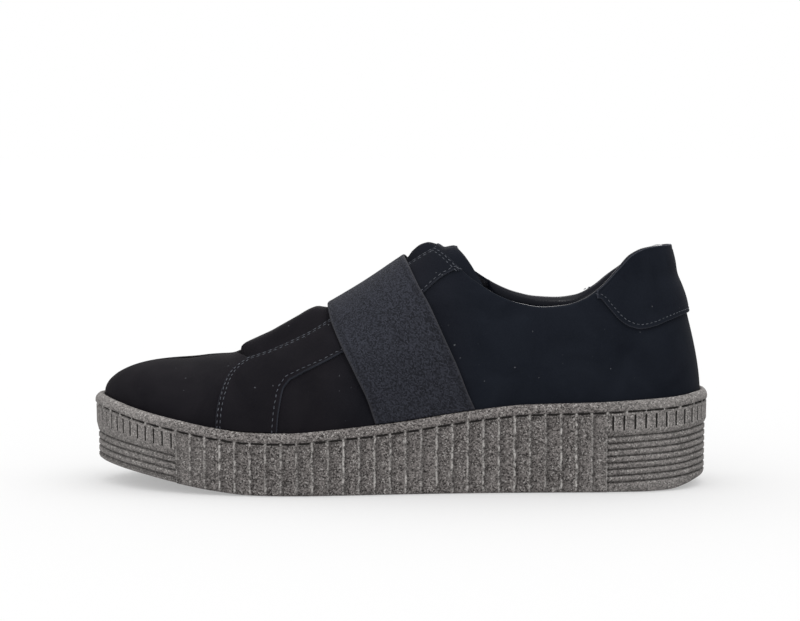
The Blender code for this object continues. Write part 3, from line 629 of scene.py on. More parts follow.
# Woven cloth on a flat map in metres: staggered threads, each of its own shade
def makeWeaveGroup():
    tree, start, end = makeSurfaceGroup("wovenThread", {"Across": 1500.0, "Along": 1300.0, "Stagger": 0.5},
                                        ("Shade", "Height"))
    split = addNode(tree, "ShaderNodeSeparateXYZ", {"Vector": start["Vector"]})
    down = times(tree, split.outputs[1], start["Along"])
    row = maths(tree, "FLOOR", down)
    over = plus(tree, times(tree, split.outputs[0], start["Across"]), times(tree, row, start["Stagger"]))
    cell = addNode(tree, "ShaderNodeCombineXYZ", {0: maths(tree, "FLOOR", over), 1: row})
    chance = addNode(tree, "ShaderNodeTexWhiteNoise", {"Vector": cell.outputs[0]})
    waves = [maths(tree, "SINE", times(tree, maths(tree, "FRACT", place), math.pi)) for place in (over, down)]
    bump = times(tree, *waves)
    shade = plus(tree, times(tree, bump, 0.5), times(tree, chance.outputs["Value"], 0.5))
    return putOut(tree, end, {"Shade": shade, "Height": bump})


napGroup = makeNapGroup()
crumbGroup = makeCrumbGroup()
weaveGroup = makeWeaveGroup()

shaderSockets = {"roughness": "Roughness", "sheen": "Sheen Weight", "sheenRoughness": "Sheen Roughness",
                 "sheenTint": "Sheen Tint", "specular": "Specular IOR Level"}


def newMaterial(name, colour, **fixed):
    material = bpy.data.materials.new(name)
    material.use_nodes = True
    shader = material.node_tree.nodes["Principled BSDF"]
    for key, value in fixed.items():
        shader.inputs[shaderSockets[key]].default_value = value
    material.diffuse_color = (*colour, 1.0)
    shader.inputs["Base Color"].default_value = (*colour, 1.0)
    return material, material.node_tree, shader


def objectPlace(tree):
    return addNode(tree, "ShaderNodeTexCoord").outputs["Object"]


def flatPlace(tree):
    return addNode(tree, "ShaderNodeUVMap", uv_map="UVMap").outputs[0]


def finishSurface(tree, shader, colour, height, strength, distance, roughness=None):
    tree.links.new(colour, shader.inputs["Base Color"])
    bump = addNode(tree, "ShaderNodeBump", {"Strength": strength, "Distance": distance, "Height": height})
    tree.links.new(bump.outputs[0], shader.inputs["Normal"])
    if roughness is not None:
        tree.links.new(roughness, shader.inputs["Roughness"])


nubuckLook = {
    "front": ((0.0040, 0.0037, 0.0050), (0.0090, 0.0082, 0.0100)),
    "back": ((0.0040, 0.0050, 0.0078), (0.0086, 0.0104, 0.0150)),
    "turnsAt": (-0.035, 0.035), "edge": (0.036, 0.039, 0.050), "lint": (0.055, 0.058, 0.064),
    "fixed": {"roughness": 0.90, "sheen": 0.006, "sheenRoughness": 0.40,
              "sheenTint": (1.0, 0.86, 0.80, 1.0), "specular": 0.04},
    "bump": (0.35, 0.00012),
}


# Brushed leather: warmer towards the toe, bluer towards the heel, pale at cut edges
def makeNubuck():
    look = nubuckLook
    material, tree, shader = newMaterial("nubuck_black", look["back"][0], **look["fixed"])
    place = objectPlace(tree)
    nap = addNode(tree, "ShaderNodeGroup", {"Vector": place}, node_tree=napGroup).outputs
    along = addNode(tree, "ShaderNodeSeparateXYZ", {"Vector": place}).outputs[0]
    turn = ramp(tree, along, *look["turnsAt"])
    dark, light = (mixColour(tree, turn, look["front"][k], look["back"][k]) for k in (0, 1))
    body = mixColour(tree, ramp(tree, nap["Shade"], 0.32, 0.68), dark, light)
    broken = times(tree, painted(tree, "cutEdge"), ramp(tree, nap["Shade"], 0.36, 0.56, 0.45, 1.0))
    body = mixColour(tree, broken, body, look["edge"])
    body = mixColour(tree, nap["Lint"], body, look["lint"])
    finishSurface(tree, shader, body, nap["Height"], *look["bump"])
    return material


elasticLook = {
    "dark": (0.0030, 0.0032, 0.0044), "light": (0.0340, 0.0362, 0.0475),
    "selvedge": (0.0050, 0.0053, 0.0068), "rim": (0.0300, 0.0300, 0.0340),
    "across": 2050.0, "along": 1750.0,
    "fixed": {"roughness": 0.85, "sheen": 0.008, "sheenRoughness": 0.35,
              "sheenTint": (1.0, 0.88, 0.78, 1.0), "specular": 0.08},
    "bump": (0.5, 0.00016),
}


# Woven elastic: rows of speckled thread, a groove and a firm edge at each side
def makeElastic():
    look = elasticLook
    material, tree, shader = newMaterial("elastic_grey", look["dark"], **look["fixed"])
    weave = addNode(tree, "ShaderNodeGroup", {"Vector": flatPlace(tree), "Across": look["across"],
                                              "Along": look["along"]}, node_tree=weaveGroup).outputs
    body = mixColour(tree, ramp(tree, weave["Shade"], 0.12, 0.92), look["dark"], look["light"])
    for name, colour in (("selvedge", look["selvedge"]), ("paleEdge", look["rim"])):
        body = mixColour(tree, times(tree, painted(tree, name), 0.75), body, colour)
    finishSurface(tree, shader, body, weave["Height"], *look["bump"])
    return material


rubberLook = {
    "dark": (0.017, 0.0150, 0.0145), "light": (0.190, 0.175, 0.169),
    "crest": (0.420, 0.405, 0.390), "deep": (0.006, 0.0055, 0.0052),
    "endsAt": (0.075, 0.115), "paleEnds": 0.15, "spark": 0.45,
    "wander": 0.18, "slowWander": 0.14,
    "shadow": 0.45, "slitShade": 0.085, "slitDark": 0.92, "ragged": 0.10, "lipHighlightAt": 0.15, "lipHighlight": 0.035,
    "fixed": {"roughness": 0.85, "specular": 0.12}, "bump": (0.8, 0.0003),
}


# Grey crumb rubber: pale broken rib crests, partly worn crumb and partly a painted highlight, and painted
# shade in the grooves
def makeRubber():
    look = rubberLook
    material, tree, shader = newMaterial("rubber_grey", look["dark"], **look["fixed"])
    place = objectPlace(tree)
    crumb = addNode(tree, "ShaderNodeGroup", {"Vector": place}, node_tree=crumbGroup).outputs
    body = mixColour(tree, ramp(tree, crumb["Shade"], 0.26, 0.78), look["dark"], look["light"])
    body = mixColour(tree, times(tree, crumb["Spark"], look["spark"]), body, look["crest"])
    along = addNode(tree, "ShaderNodeSeparateXYZ", {"Vector": place}).outputs[0]
    ends = ramp(tree, maths(tree, "ABSOLUTE", along), *look["endsAt"], 0.0, look["paleEnds"])
    body = mixColour(tree, ends, body, look["crest"])
    # painted shade on one side of each flute and pale crests, partly worn crumb and partly a painted
    # highlight; the crests wander, differ from rib to rib and are broken in places
    patchy = noise(tree, place, 480.0, 4.0, 0.75).outputs[0]
    slow = noise(tree, place, 150.0, 1.0).outputs[0]
    rib, ribMask, tickMask = painted(tree, "ribPhase"), painted(tree, "ribMask"), painted(tree, "tickMask")
    offPatchy = minus(tree, patchy, 0.5)
    phase = plus(tree, rib, plus(tree, times(tree, offPatchy, look["wander"]),
                                 times(tree, minus(tree, slow, 0.5), look["slowWander"])))
    own = addNode(tree, "ShaderNodeTexWhiteNoise", {"W": maths(tree, "ROUND", rib)},
                  noise_dimensions="1D").outputs["Value"]
    shadow = times(tree, ramp(tree, maths(tree, "FRACT", phase), 0.50, 0.90), ribMask, look["shadow"])
    body = mixColour(tree, shadow, body, look["dark"])
    crest = times(tree, ramp(tree, nearWhole(tree, phase), 0.81, 0.95), ribMask,
                  ramp(tree, patchy, 0.44, 0.58, 0.05, 1.0), ramp(tree, own, 0.0, 1.0, 0.45, 0.95))
    body = mixColour(tree, crest, body, look["crest"])
    # slits of the end zones painted dark as the shade inside each cut, each with a painted highlight on the
    # lip beside it
    across = minus(tree, maths(tree, "FRACT", painted(tree, "tickPhase")), 0.5)
    ragged = plus(tree, across, times(tree, offPatchy, look["ragged"]))
    lipHighlight = maths(tree, "LESS_THAN", maths(tree, "ABSOLUTE", plus(tree, ragged, look["lipHighlightAt"])), look["lipHighlight"])
    lipHighlight = times(tree, lipHighlight, tickMask, ramp(tree, patchy, 0.40, 0.60, 0.0, 0.5))
    body = mixColour(tree, lipHighlight, body, look["crest"])
    slitShade = maths(tree, "LESS_THAN", maths(tree, "ABSOLUTE", ragged), look["slitShade"])
    slitShade = times(tree, slitShade, maths(tree, "GREATER_THAN", tickMask, 0.4), look["slitDark"])
    body = mixColour(tree, slitShade, body, look["deep"])
    # painted shade in the level grooves and the seam, with a painted highlight on the bridges across the seam
    deep = times(tree, ramp(tree, painted(tree, "deep"), 0.25, 0.85),
                 ramp(tree, patchy, 0.30, 0.58, 0.30, 0.75))
    body = mixColour(tree, deep, body, look["deep"])
    bridgeHighlight = times(tree, ramp(tree, nearWhole(tree, painted(tree, "seamPhase")), 0.84, 0.93),
                   painted(tree, "seamMask"), ramp(tree, patchy, 0.38, 0.56, 0.25, 0.9))
    body = mixColour(tree, bridgeHighlight, body, look["crest"])
    finishSurface(tree, shader, body, crumb["Height"], *look["bump"])
    return material


# Smooth dark lining leather of the padded collar
def makeCollarLeather():
    material, tree, shader = newMaterial("collar_leather", (0.006, 0.0065, 0.010), roughness=0.26,
                                         specular=0.075)
    place = objectPlace(tree)
    pebble = addNode(tree, "ShaderNodeTexVoronoi", {"Vector": place, "Scale": 1500.0})
    soft = noise(tree, place, 90.0, 3.0).outputs[0]
    body = mixColour(tree, soft, (0.003, 0.003, 0.005), (0.007, 0.008, 0.012))
    height = plus(tree, times(tree, pebble.outputs["Distance"], 0.35), soft)
    finishSurface(tree, shader, body, height, 0.25, 0.0003, ramp(tree, soft, 0.3, 0.7, 0.22, 0.32))
    return material


# Plain woven lining cloth, also the cover of the footbed
def makeLiningCloth(name, dark, light):
    material, tree, shader = newMaterial(name, dark, roughness=0.88, sheen=0.04, sheenRoughness=0.5,
                                         specular=0.06)
    weave = addNode(tree, "ShaderNodeGroup", {"Vector": flatPlace(tree), "Across": 900.0, "Along": 900.0},
                    node_tree=weaveGroup).outputs
    body = mixColour(tree, weave["Shade"], dark, light)
    finishSurface(tree, shader, body, weave["Height"], 0.6, 0.0003)
    return material


# Twisted sewing thread
def makeThread(name, dark, light, roughness):
    material, tree, shader = newMaterial(name, dark, roughness=roughness, sheen=0.04, specular=0.12)
    twist = noise(tree, objectPlace(tree), 2600.0).outputs[0]
    body = mixColour(tree, ramp(tree, twist, 0.35, 0.65), dark, light)
    finishSurface(tree, shader, body, twist, 0.4, 0.0002)
    return material


nubuck = makeNubuck()
elastic = makeElastic()
rubber = makeRubber()
collarLeather = makeCollarLeather()
liningCloth = makeLiningCloth("lining_cloth", (0.005, 0.005, 0.007), (0.014, 0.0145, 0.018))
footbedCloth = makeLiningCloth("footbed_black", (0.008, 0.008, 0.010), (0.022, 0.022, 0.026))
upperThread = makeThread("thread_slate", (0.020, 0.022, 0.028), (0.075, 0.080, 0.094), 0.75)
soleThread = makeThread("thread_sole", (0.005, 0.0045, 0.0045), (0.016, 0.014, 0.013), 0.75)
print("materials ready")


# Vamp and quarters: one hollow skin with a rolled edge at collar and throat
upperShape = {"around": ((60, 0.36), (50, 0.50), (40, 0.70), (44, frontRound), (60, 1.0)),
              "rows": 54, "rowPower": 0.97, "edgeSteps": 7, "edgeRise": 0.0009, "edgeFades": 0.012}


def buildUpper():
    ring, isOpen = ringPlaces(spread(0.0, *upperShape["around"]))
    rise = upperShape["edgeRise"]
    cut = np.where(isOpen, placedCut(ring), 1.0)
    fade = np.clip((frontRound - np.abs(ring)) / upperShape["edgeFades"], 0, 1)
    e = 2e-3
    pace = np.linalg.norm(placedLast(ring, cut) - placedLast(ring, cut - e), axis=1) / e
    top = cut - fade * rise / pace
    foot = -(shoe["cupDepth"] - shoe["gap"]) / shoe["cupDepth"]
    levels = np.linspace(0, 1, upperShape["rows"]) ** upperShape["rowPower"]
    ups = np.concatenate([np.full((len(ring), 1), foot), levels[None, :] * top[:, None]], 1)
    places = np.repeat(ring[:, None], ups.shape[1], 1)
    outer, _ = placedSkin(places, ups, 0.0)
    inner, _ = placedSkin(places, ups, -shoe["wall"])
    middle, across = (outer[:, -1] + inner[:, -1]) / 2, (outer[:, -1] - inner[:, -1]) / 2
    rising = bothSides(upDirection, ring, top) * (rise * fade)[:, None]
    turn = np.linspace(0, math.pi, upperShape["edgeSteps"] + 1)[1:-1]
    edge = (middle[:, None] + across[:, None] * np.cos(turn)[None, :, None]
            + rising[:, None] * np.sin(turn)[None, :, None])
    points, faces = hollowShell(outer, edge, inner, isOpen)
    return makePiece("vampAndQuarters", points.reshape(-1, 3), faces, [nubuck], weld=5e-6)


# Overlays: sheets laid on the skin, rounded and paler at their cut edges, dented by stitches
overlayShape = {
    "edgeAt": (0.0, 0.00012, 0.0003, 0.0006, 0.0010),
    "edgeHigh": (0.30, 0.70, 0.92, 1.0, 1.0),
    "edgePale": (1.0, 0.9, 0.35, 0.0, 0.0),
    "dent": 0.00022, "dentWidth": 0.0005, "sink": 0.0001, "narrow": (0.02, 0.36), "across": 26,
    "margin": 0.004, "heelMargin": 0.003, "leastSpan": 0.02, "heelAcross": 30, "heelTopRow": 0.0016,
    "pathSteps": 60, "heelSteps": 70,
}
eyestayFront = ((0.746, 0.008), (0.745, 0.20), (0.742, 0.40), (0.738, 0.53), (0.728, 0.62))
eyestayBend = ((0.660, 0.008), (0.659, 0.12), (0.657, 0.23), (0.654, 0.33), (0.646, 0.383))
eyestayBack = ((0.646, 0.383), (0.625, 0.41), (0.580, 0.437), (0.530, 0.49), (0.469, 0.575),
               (0.445, 0.63), (0.422, 0.675))
throatCorner, facingCorner = 0.712, 0.422
heelTabEdge = ((0.00, 0.428), (0.04, 0.426), (0.08, 0.418), (0.11, 0.402), (0.14, 0.378),
               (0.16, 0.370), (0.175, 0.381), (0.19, 0.410), (0.205, 0.465), (0.22, 0.525))
heelTabEnd = 0.226


# A sheet ruled between two paths of places; dents are the distances of stitch rows from each path.
def layOverlay(name, first, second, across, dentsFirst=(), dentsSecond=(), roundEnds=(True, True)):
    shape = overlayShape
    length = np.linalg.norm(placedLast(first[:, 0], first[:, 1])
                            - placedLast(second[:, 0], second[:, 1]), axis=1)
    edge = np.array(shape["edgeAt"])
    least, share = shape["narrow"]
    near = np.minimum(edge[None, :] / length[:, None], least + share * edge[None, :] / edge[-1])
    inside = np.linspace(0, 1, across + 1)[1:-1][None, :]
    middle = near[:, -1:] + (1 - 2 * near[:, -1:]) * inside
    t = np.concatenate([near, middle, 1 - near[:, ::-1]], 1)
    place = first[:, :1] * (1 - t) + second[:, :1] * t
    up = first[:, 1:] * (1 - t) + second[:, 1:] * t
    fromFirst, fromSecond = t * length[:, None], (1 - t) * length[:, None]
    flat = placedLast(place, up)
    run = lengthAlong(flat[:, t.shape[1] // 2])
    fromEdge = np.minimum(fromFirst, fromSecond)
    if roundEnds[0]:
        fromEdge = np.minimum(fromEdge, run[:, None])
    if roundEnds[1]:
        fromEdge = np.minimum(fromEdge, (run[-1] - run)[:, None])
    high = np.interp(fromEdge, edge, shape["edgeHigh"]) * shoe["overlay"]
    for away, distances in ((fromFirst, dentsFirst), (fromSecond, dentsSecond)):
        for distance in distances:
            off = (away - np.reshape(distance, (-1, 1))) / shape["dentWidth"]
            high -= shape["dent"] * np.exp(-off ** 2)
    pale = np.interp(fromEdge, edge, shape["edgePale"])
    upper, _ = placedSkin(place, up, shoe["gap"] + high)
    lower, _ = placedSkin(place, up, -shape["sink"])
    points, faces = closedSheet(upper, lower)
    pale = np.concatenate([pale.ravel(), np.ones(pale.size)])
    return makePiece(name, points, faces, [nubuck], values={"cutEdge": pale})


# Outline paths of one eyestay, as places
def eyestayPaths(side):
    margin, steps = overlayShape["margin"], overlayShape["pathSteps"]
    corner = float(cutAt(side, throatCorner))
    front = alongPath(eyestayFront + ((throatCorner, corner - margin),), steps)
    edgeRound = spread(throatCorner, (steps, 0.52), (steps, facingCorner))
    edge = np.stack([edgeRound, cutAt(side, edgeRound) - margin], -1)
    bend = alongPath(eyestayBend, steps)
    back = alongPath(eyestayBack, len(edgeRound))
    slope = np.linspace(0, 1, len(back))
    limit = edge[:, 1] - overlayShape["leastSpan"]
    back[:, 1] = np.where(slope > 0.8, np.minimum(back[:, 1], limit), back[:, 1])  # only near the collar
    first, second = np.vstack([front, edge[1:]]), np.vstack([bend, back[1:]])
    first[:, 0] *= side
    second[:, 0] *= side
    return first, second


# The single row keeps off the bend and runs close to the edge under the collar
def bendInset(path):
    return np.interp(np.abs(path[:, 0]), stitchPlan["turn"], (stitchPlan["back"], stitchPlan["bend"]))


def buildEyestays():
    pieces = []
    for name, node, side in (("facingOutside", "eyestay_lateral", outerSide),
                             ("facingInside", "eyestay_medial", innerSide)):
        first, second = eyestayPaths(side)
        piece = layOverlay(name, first, second, overlayShape["across"], stitchPlan["front"],
                           (bendInset(second),), (False, True))
        pieces.append((piece, node))
    return pieces


def heelTabPaths():
    steps = overlayShape["heelSteps"]
    places = np.concatenate([-np.linspace(heelTabEnd, 0, steps)[:-1], np.linspace(0, heelTabEnd, steps)])
    places[steps - 1] = 1e-9
    top = placedCut(places) - overlayShape["heelMargin"]
    low = np.minimum(smoothTable(heelTabEdge, 1, np.abs(places)), top - overlayShape["leastSpan"])
    return np.stack([places, low], -1), np.stack([places, top], -1)


def buildHeelTab():
    low, top = heelTabPaths()
    shape = overlayShape
    return layOverlay("heelOverlay", low, top, shape["heelAcross"], (stitchPlan["heel"],),
                      (shape["heelTopRow"],))


# Distances of the stitch rows from the cut edges
stitchPlan = {"front": (0.0009, 0.0023), "bend": 0.0022, "back": 0.0011, "turn": (0.600, 0.646),
              "heel": 0.0018}

# Elastic band over the instep, from rim to rim
bandShape = {
    "front": ((0.526, 0.00), (0.538, 0.14), (0.555, 0.28), (0.577, 0.47), (0.595, 0.68),
              (0.606, 0.88), (0.611, 1.00)),
    "back": ((0.391, 0.00), (0.402, 0.10), (0.416, 0.22), (0.440, 0.38), (0.457, 0.50),
             (0.473, 0.61), (0.494, 0.82), (0.507, 1.00)),
    "thick": 0.0013, "climb": 0.36, "rows": 90, "across": 34,
    "edgeAt": (0.0, 0.006, 0.016, 0.032), "edgeHigh": (0.42, 0.78, 0.96, 1.0),
    "grooveAt": 0.050, "groove": 0.00022, "grooveWidth": 0.008, "firstRow": 0.004, "climbFrom": 0.02,
    "selvedge": ((0.0, 0.035, 0.045, 0.055, 0.065), (0.1, 0.1, 1.0, 1.0, 0.0)),
    "paleEdge": ((0.0, 0.006, 0.016, 0.025), (1.0, 1.0, 0.4, 0.0)),
}


def buildBand():
    shape = bandShape
    ups = spread(shape["firstRow"], (shape["rows"], 1.0))
    edge = np.array(shape["edgeAt"])
    inside = np.linspace(edge[-1], 1 - edge[-1], shape["across"])
    t = np.concatenate([edge, inside[1:-1], 1 - edge[::-1]])
    fromEdge = np.minimum(t, 1 - t)
    profile = np.interp(fromEdge, edge, shape["edgeHigh"])
    groove = shape["groove"] * np.exp(-((fromEdge - shape["grooveAt"]) / shape["grooveWidth"]) ** 2)
    upperRows, lowerRows = [], []
    frontRows = tuple((r[1], r[0]) for r in shape["front"])
    backRows = tuple((r[1], r[0]) for r in shape["back"])
    for side, order in ((outerSide, ups), (innerSide, ups[-2::-1])):
        front, back = smoothTable(frontRows, 1, order), smoothTable(backRows, 1, order)
        around = front[:, None] * (1 - t) + back[:, None] * t
        up = np.repeat(order[:, None], len(t), 1)
        over = np.clip((up - shape["climbFrom"]) / shape["climb"], 0, 1)
        lift = shoe["gap"] + over * over * (3 - 2 * over) * (shoe["overlay"] + 2 * shoe["gap"])
        point, normal = lastPoint(side, around, up), lastNormal(side, around, up)
        thick = shape["thick"]
        top = lift + thick * (0.5 + 0.5 * profile) - groove
        under = lift + thick * (0.5 - 0.5 * profile)
        upperRows.append(point + normal * top[..., None])
        lowerRows.append(point + normal * under[..., None])
    upper, lower = np.vstack(upperRows), np.vstack(lowerRows)
    run = lengthAlong(upper[:, len(t) // 2])
    flatWidth = float(np.linalg.norm(upper[:, -1] - upper[:, 0], axis=1).mean())
    uv = np.stack(np.broadcast_arrays(t[None, :] * flatWidth, run[:, None]), -1).reshape(-1, 2)
    points, faces = closedSheet(upper, lower)
    values = {key: np.tile(np.interp(fromEdge, *shape[key]), 2 * len(run))
              for key in ("selvedge", "paleEdge")}
    print("band", round(flatWidth, 4), "by", round(float(run[-1]), 4))
    return makePiece("elasticBand", points, faces, [elastic], uv=np.concatenate([uv, uv]), values=values)


# Padded tongue between the facings
tongueShape = {
    "thick": 0.0048, "depth": shoe["wall"] + 4 * shoe["gap"], "tuck": 0.007, "lean": 0.064, "wing": 0.009,
    "leanPower": 2.2, "edge": 0.0018, "ahead": 0.004,
    "widest": 0.735, "halfMost": 0.026, "turn": (0.53, 0.10), "steep": 1.6, "endThin": 0.15,
    "front": 0.795, "stations": ((8, 0.765), (24, 0.705), (34, 0.58), (44, 0.440)),
    "across": 15, "roundTop": 0.030,
    "bulge": ((0.38, -0.0046), (0.413, -0.0040), (0.427, -0.0048), (0.437, -0.0040), (0.445, -0.0012),
              (0.4535, 0.0016), (0.466, 0.0027), (0.478, 0.0022), (0.488, 0.0010), (0.50, 0.0008),
              (0.52, 0.0010), (0.60, 0.0011), (0.618, 0.0013), (0.626, 0.0029), (0.632, 0.0041),
              (0.645, 0.0045), (0.665, 0.0040), (0.69, 0.0033), (0.715, 0.0025), (0.739, 0.0023),
              (0.753, 0.0021), (0.762, 0.0011), (0.768, -0.0031), (0.772, -0.0034), (1.00, -0.0034)),
    "padding": ((0.0, 1.0), (0.24, 1.0), (0.47, 0.85), (0.66, 0.55), (0.82, 0.45), (1.0, 0.40)),
}


def tonguePoint(side, around, offset):
    ups = np.linspace(0.15, 1.0, 500)
    line = lastPoint(side, around, ups)
    across = (line[:, 1] - ridgeY(shareOf(line[:, 0]))) * side
    up = float(np.interp(-offset, -across, ups))
    point, normal = lastPoint(side, around, up), lastNormal(side, around, up)
    if offset < across[-1]:
        share = offset / across[-1]
        top = np.array([line[-1], lastPoint(-side, around, 1.0)]).mean(0)
        point = top * (1 - share) + line[-1] * share
        normal = np.array([normal[0], normal[1] * share, normal[2]])
        normal /= np.linalg.norm(normal)
    return point, normal


def buildTongue():
    shape = tongueShape
    stations = spread(shape["front"], *shape["stations"])
    shares = np.linspace(1.0, 0.0, shape["across"])
    padding = smoothTable(shape["padding"], 1, shares)
    outer, inner = [], []
    for a in stations:
        rows = []
        for side in (outerSide, innerSide):
            along = min(float(columnValue("along", a)), shape["widest"])
            turn = min(max((shape["turn"][0] - a) / shape["turn"][1], 0.0), 1.0)
            half = min(float(throatHalf(side, along)), shape["halfMost"])
            half += shape["tuck"] + shape["wing"] * turn
            places = a - shape["lean"] * turn * shares ** shape["leanPower"]
            found = [tonguePoint(side, place, half * share) for place, share in zip(places, shares)]
            point = np.array([f[0] for f in found])
            normal = np.array([f[1] for f in found])
            beside = throatHalf(side, shareOf(point[:, 0]) + shape["ahead"]) - shape["edge"]
            across = np.abs(point[:, 1] - ridgeY(shareOf(point[:, 0])))
            rise = np.clip((beside - across) / np.maximum(beside, 0.001) * shape["steep"], 0, 1)
            rise = rise * rise * (3 - 2 * rise)
            bulge = smoothTable(shape["bulge"], 1, shareOf(point[:, 0]))
            depth = shape["depth"] - rise * (shape["depth"] + bulge)
            toTop = np.clip((a - stations[-1]) / shape["roundTop"], 0, 1)
            full = math.sqrt(1 - (1 - toTop) ** 2) * (1 - shape["endThin"]) + shape["endThin"]
            thick = shape["thick"] * padding
            middle = depth + thick / 2
            depth = middle - thick / 2 * full
            rows.append((point - normal * depth[:, None],
                         point - normal * (depth + thick * full)[:, None]))
        outer.append(np.vstack([rows[0][0], rows[1][0][::-1][1:]]))
        inner.append(np.vstack([rows[0][1], rows[1][1][::-1][1:]]))
    points, faces = closedSheet(np.array(outer), np.array(inner))
    sheet = (len(outer) - 1) * (len(outer[0]) - 1)
    slots = [0] * sheet + [1] * sheet + [0] * (len(faces) - 2 * sheet)  # leather lining underneath
    return makePiece("tonguePad", points, faces, [nubuck, collarLeather], uv=points[:, :2], slots=slots)


# Padded collar: a smooth leather roll inside the edge, from facing to facing
collarShape = {
    # distance below the edge and inwards from the wall, in metres, once round the roll
    "profile": ((0.0010, 0.0001), (0.0120, 0.0001), (0.0240, 0.0001), (0.0250, 0.0006),
                (0.0200, 0.0016), (0.0140, 0.0034), (0.0090, 0.0047), (0.0050, 0.0050),
                (0.0020, 0.0044), (0.0001, 0.0030), (-0.0006, 0.0016), (-0.0002, 0.0005)),
    "perSpan": 4, "columns": 260, "end": 0.380, "fades": 0.030, "endThick": 0.35,
    "least": 0.00005,
}


# Height share at a distance below the edge, for each place
def upBelowEdge(place, distance):
    cut = placedCut(place)
    steps = np.linspace(0, 1, 90)
    points = placedLast(place[:, None], cut[:, None] * steps[None, :])
    run = np.linalg.norm(np.diff(points, axis=1), axis=2).cumsum(1)
    run = np.concatenate([np.zeros((len(place), 1)), run], 1)
    fromTop = run[:, -1:] - run
    return np.array([np.interp(-np.maximum(distance, 0), -fromTop[i], cut[i] * steps)
                     for i in range(len(place))])


def buildCollar():
    shape = collarShape
    loop = closedSpline(shape["profile"], shape["perSpan"])
    half = np.linspace(0, shape["end"], shape["columns"] // 2)
    place = np.concatenate([-half[::-1], half[1:]])
    place[np.abs(place) < 1e-9] = 1e-9
    fade = np.clip((shape["end"] - np.abs(place)) / shape["fades"], 0, 1)
    fade = shape["endThick"] + (1 - shape["endThick"]) * np.sqrt(1 - (1 - fade) ** 2)
    up = upBelowEdge(place, loop[:, 0])
    lift = -(shoe["wall"] + np.maximum(loop[None, :, 1], shape["least"]) * fade[:, None])
    point, _ = placedSkin(np.repeat(place[:, None], len(loop), 1), up, lift)
    rising = bothSides(upDirection, place, placedCut(place))
    point = point + rising[:, None] * np.maximum(-loop[None, :, 0], 0)[..., None]
    columns, rows = point.shape[:2]
    ids = np.arange(columns * rows).reshape(columns, rows)
    faces = gridFaces(ids.T, wrap=True)
    faces += [ids[0].tolist(), ids[-1][::-1].tolist()]
    return makePiece("collarRoll", point.reshape(-1, 3), faces, [collarLeather])


# Thin cloth lining down to the footbed and round the toe; tall turns its height share into metres
liningShape = {"around": ((60, 0.36), (50, 0.70), (16, frontRound), (40, 1.0)), "rows": 24,
               "below": 0.012, "foot": -0.9, "front": 0.00005, "back": 0.00050, "tall": 0.08}


def buildLining():
    shape = liningShape
    ring, isOpen = ringPlaces(spread(0.0, *shape["around"]))
    top = np.where(isOpen, placedCut(ring) - shape["below"], 1.0)
    levels = np.linspace(0, 1, shape["rows"])
    ups = np.concatenate([np.full((len(ring), 1), shape["foot"]), levels[None, :] * top[:, None]], 1)
    places = np.repeat(ring[:, None], ups.shape[1], 1)
    outer, inner = (placedSkin(places, ups, -(shoe["wall"] + shape[key]))[0] for key in ("front", "back"))
    points, faces = hollowShell(outer, outer[:, :0], inner, isOpen)
    run = np.abs(ring) * outlines[outerSide]["length"]
    uv = np.stack(np.broadcast_arrays(run[:, None], ups * shape["tall"]), -1)
    uv = np.concatenate([uv, uv[:, ::-1]], 1)
    return makePiece("innerLining", points.reshape(-1, 3), faces, [liningCloth],
                     uv=uv.reshape(-1, 2), weld=5e-6)


# Footbed: crowned at its edge, hollowed under the heel
footbedShape = {"inset": shoe["rimWidth"] + shoe["gap"] + shoe["wall"] + 0.0009, "front": 0.005,
                "heel": 0.0088, "raise": 0.00077, "hollow": 0.0012, "hollowAt": (0.095, 0.030),
                "bevel": (0.985, 0.12), "stations": 130, "across": 30}


# Flat grid between the outlines of both sides, moved in by an inset
def betweenOutlines(around, t, inset):
    edges = []
    for side in (outerSide, innerSide):
        curve, normal = outlineAt(side, around)
        edges.append(curve - normal * inset)
    return edges[0][:, None] * (1 - t[None, :, None]) + edges[1][:, None] * t[None, :, None]


def buildFootbed():
    shape = footbedShape
    t = (1 - np.cos(np.linspace(0, math.pi, shape["across"]))) / 2
    flat = betweenOutlines(np.linspace(0.0, 1.0, shape["stations"]), t, shape["inset"])
    floor = rimZ(flat[..., 0]) - shoe["cupDepth"] + shoe["gap"]
    rows = ((0.0, shape["heel"]), (0.25, shape["heel"]), (0.6, shape["front"]), (1.0, shape["front"]))
    thick = smoothTable(rows, 1, shareOf(flat[..., 0]))
    off = np.abs(2 * t - 1)[None, :]  # 0 along the middle, 1 at the rims
    middle, wide = shape["hollowAt"]
    heel = shape["hollow"] * np.exp(-((flat[..., 0] - middle) / wide) ** 2) * (1 - off ** 2)
    start, share = shape["bevel"]
    rounded = 1 - np.clip((off - start) / (1 - start), 0, 1) * share
    high = floor + thick * rounded + off ** 4 * shape["raise"] - heel
    points, faces = closedSheet(np.concatenate([flat, high[..., None]], -1),
                                np.concatenate([flat, floor[..., None]], -1))
    return makePiece("footbedPad", points, faces, [footbedCloth], uv=points[:, :2], weld=5e-6)


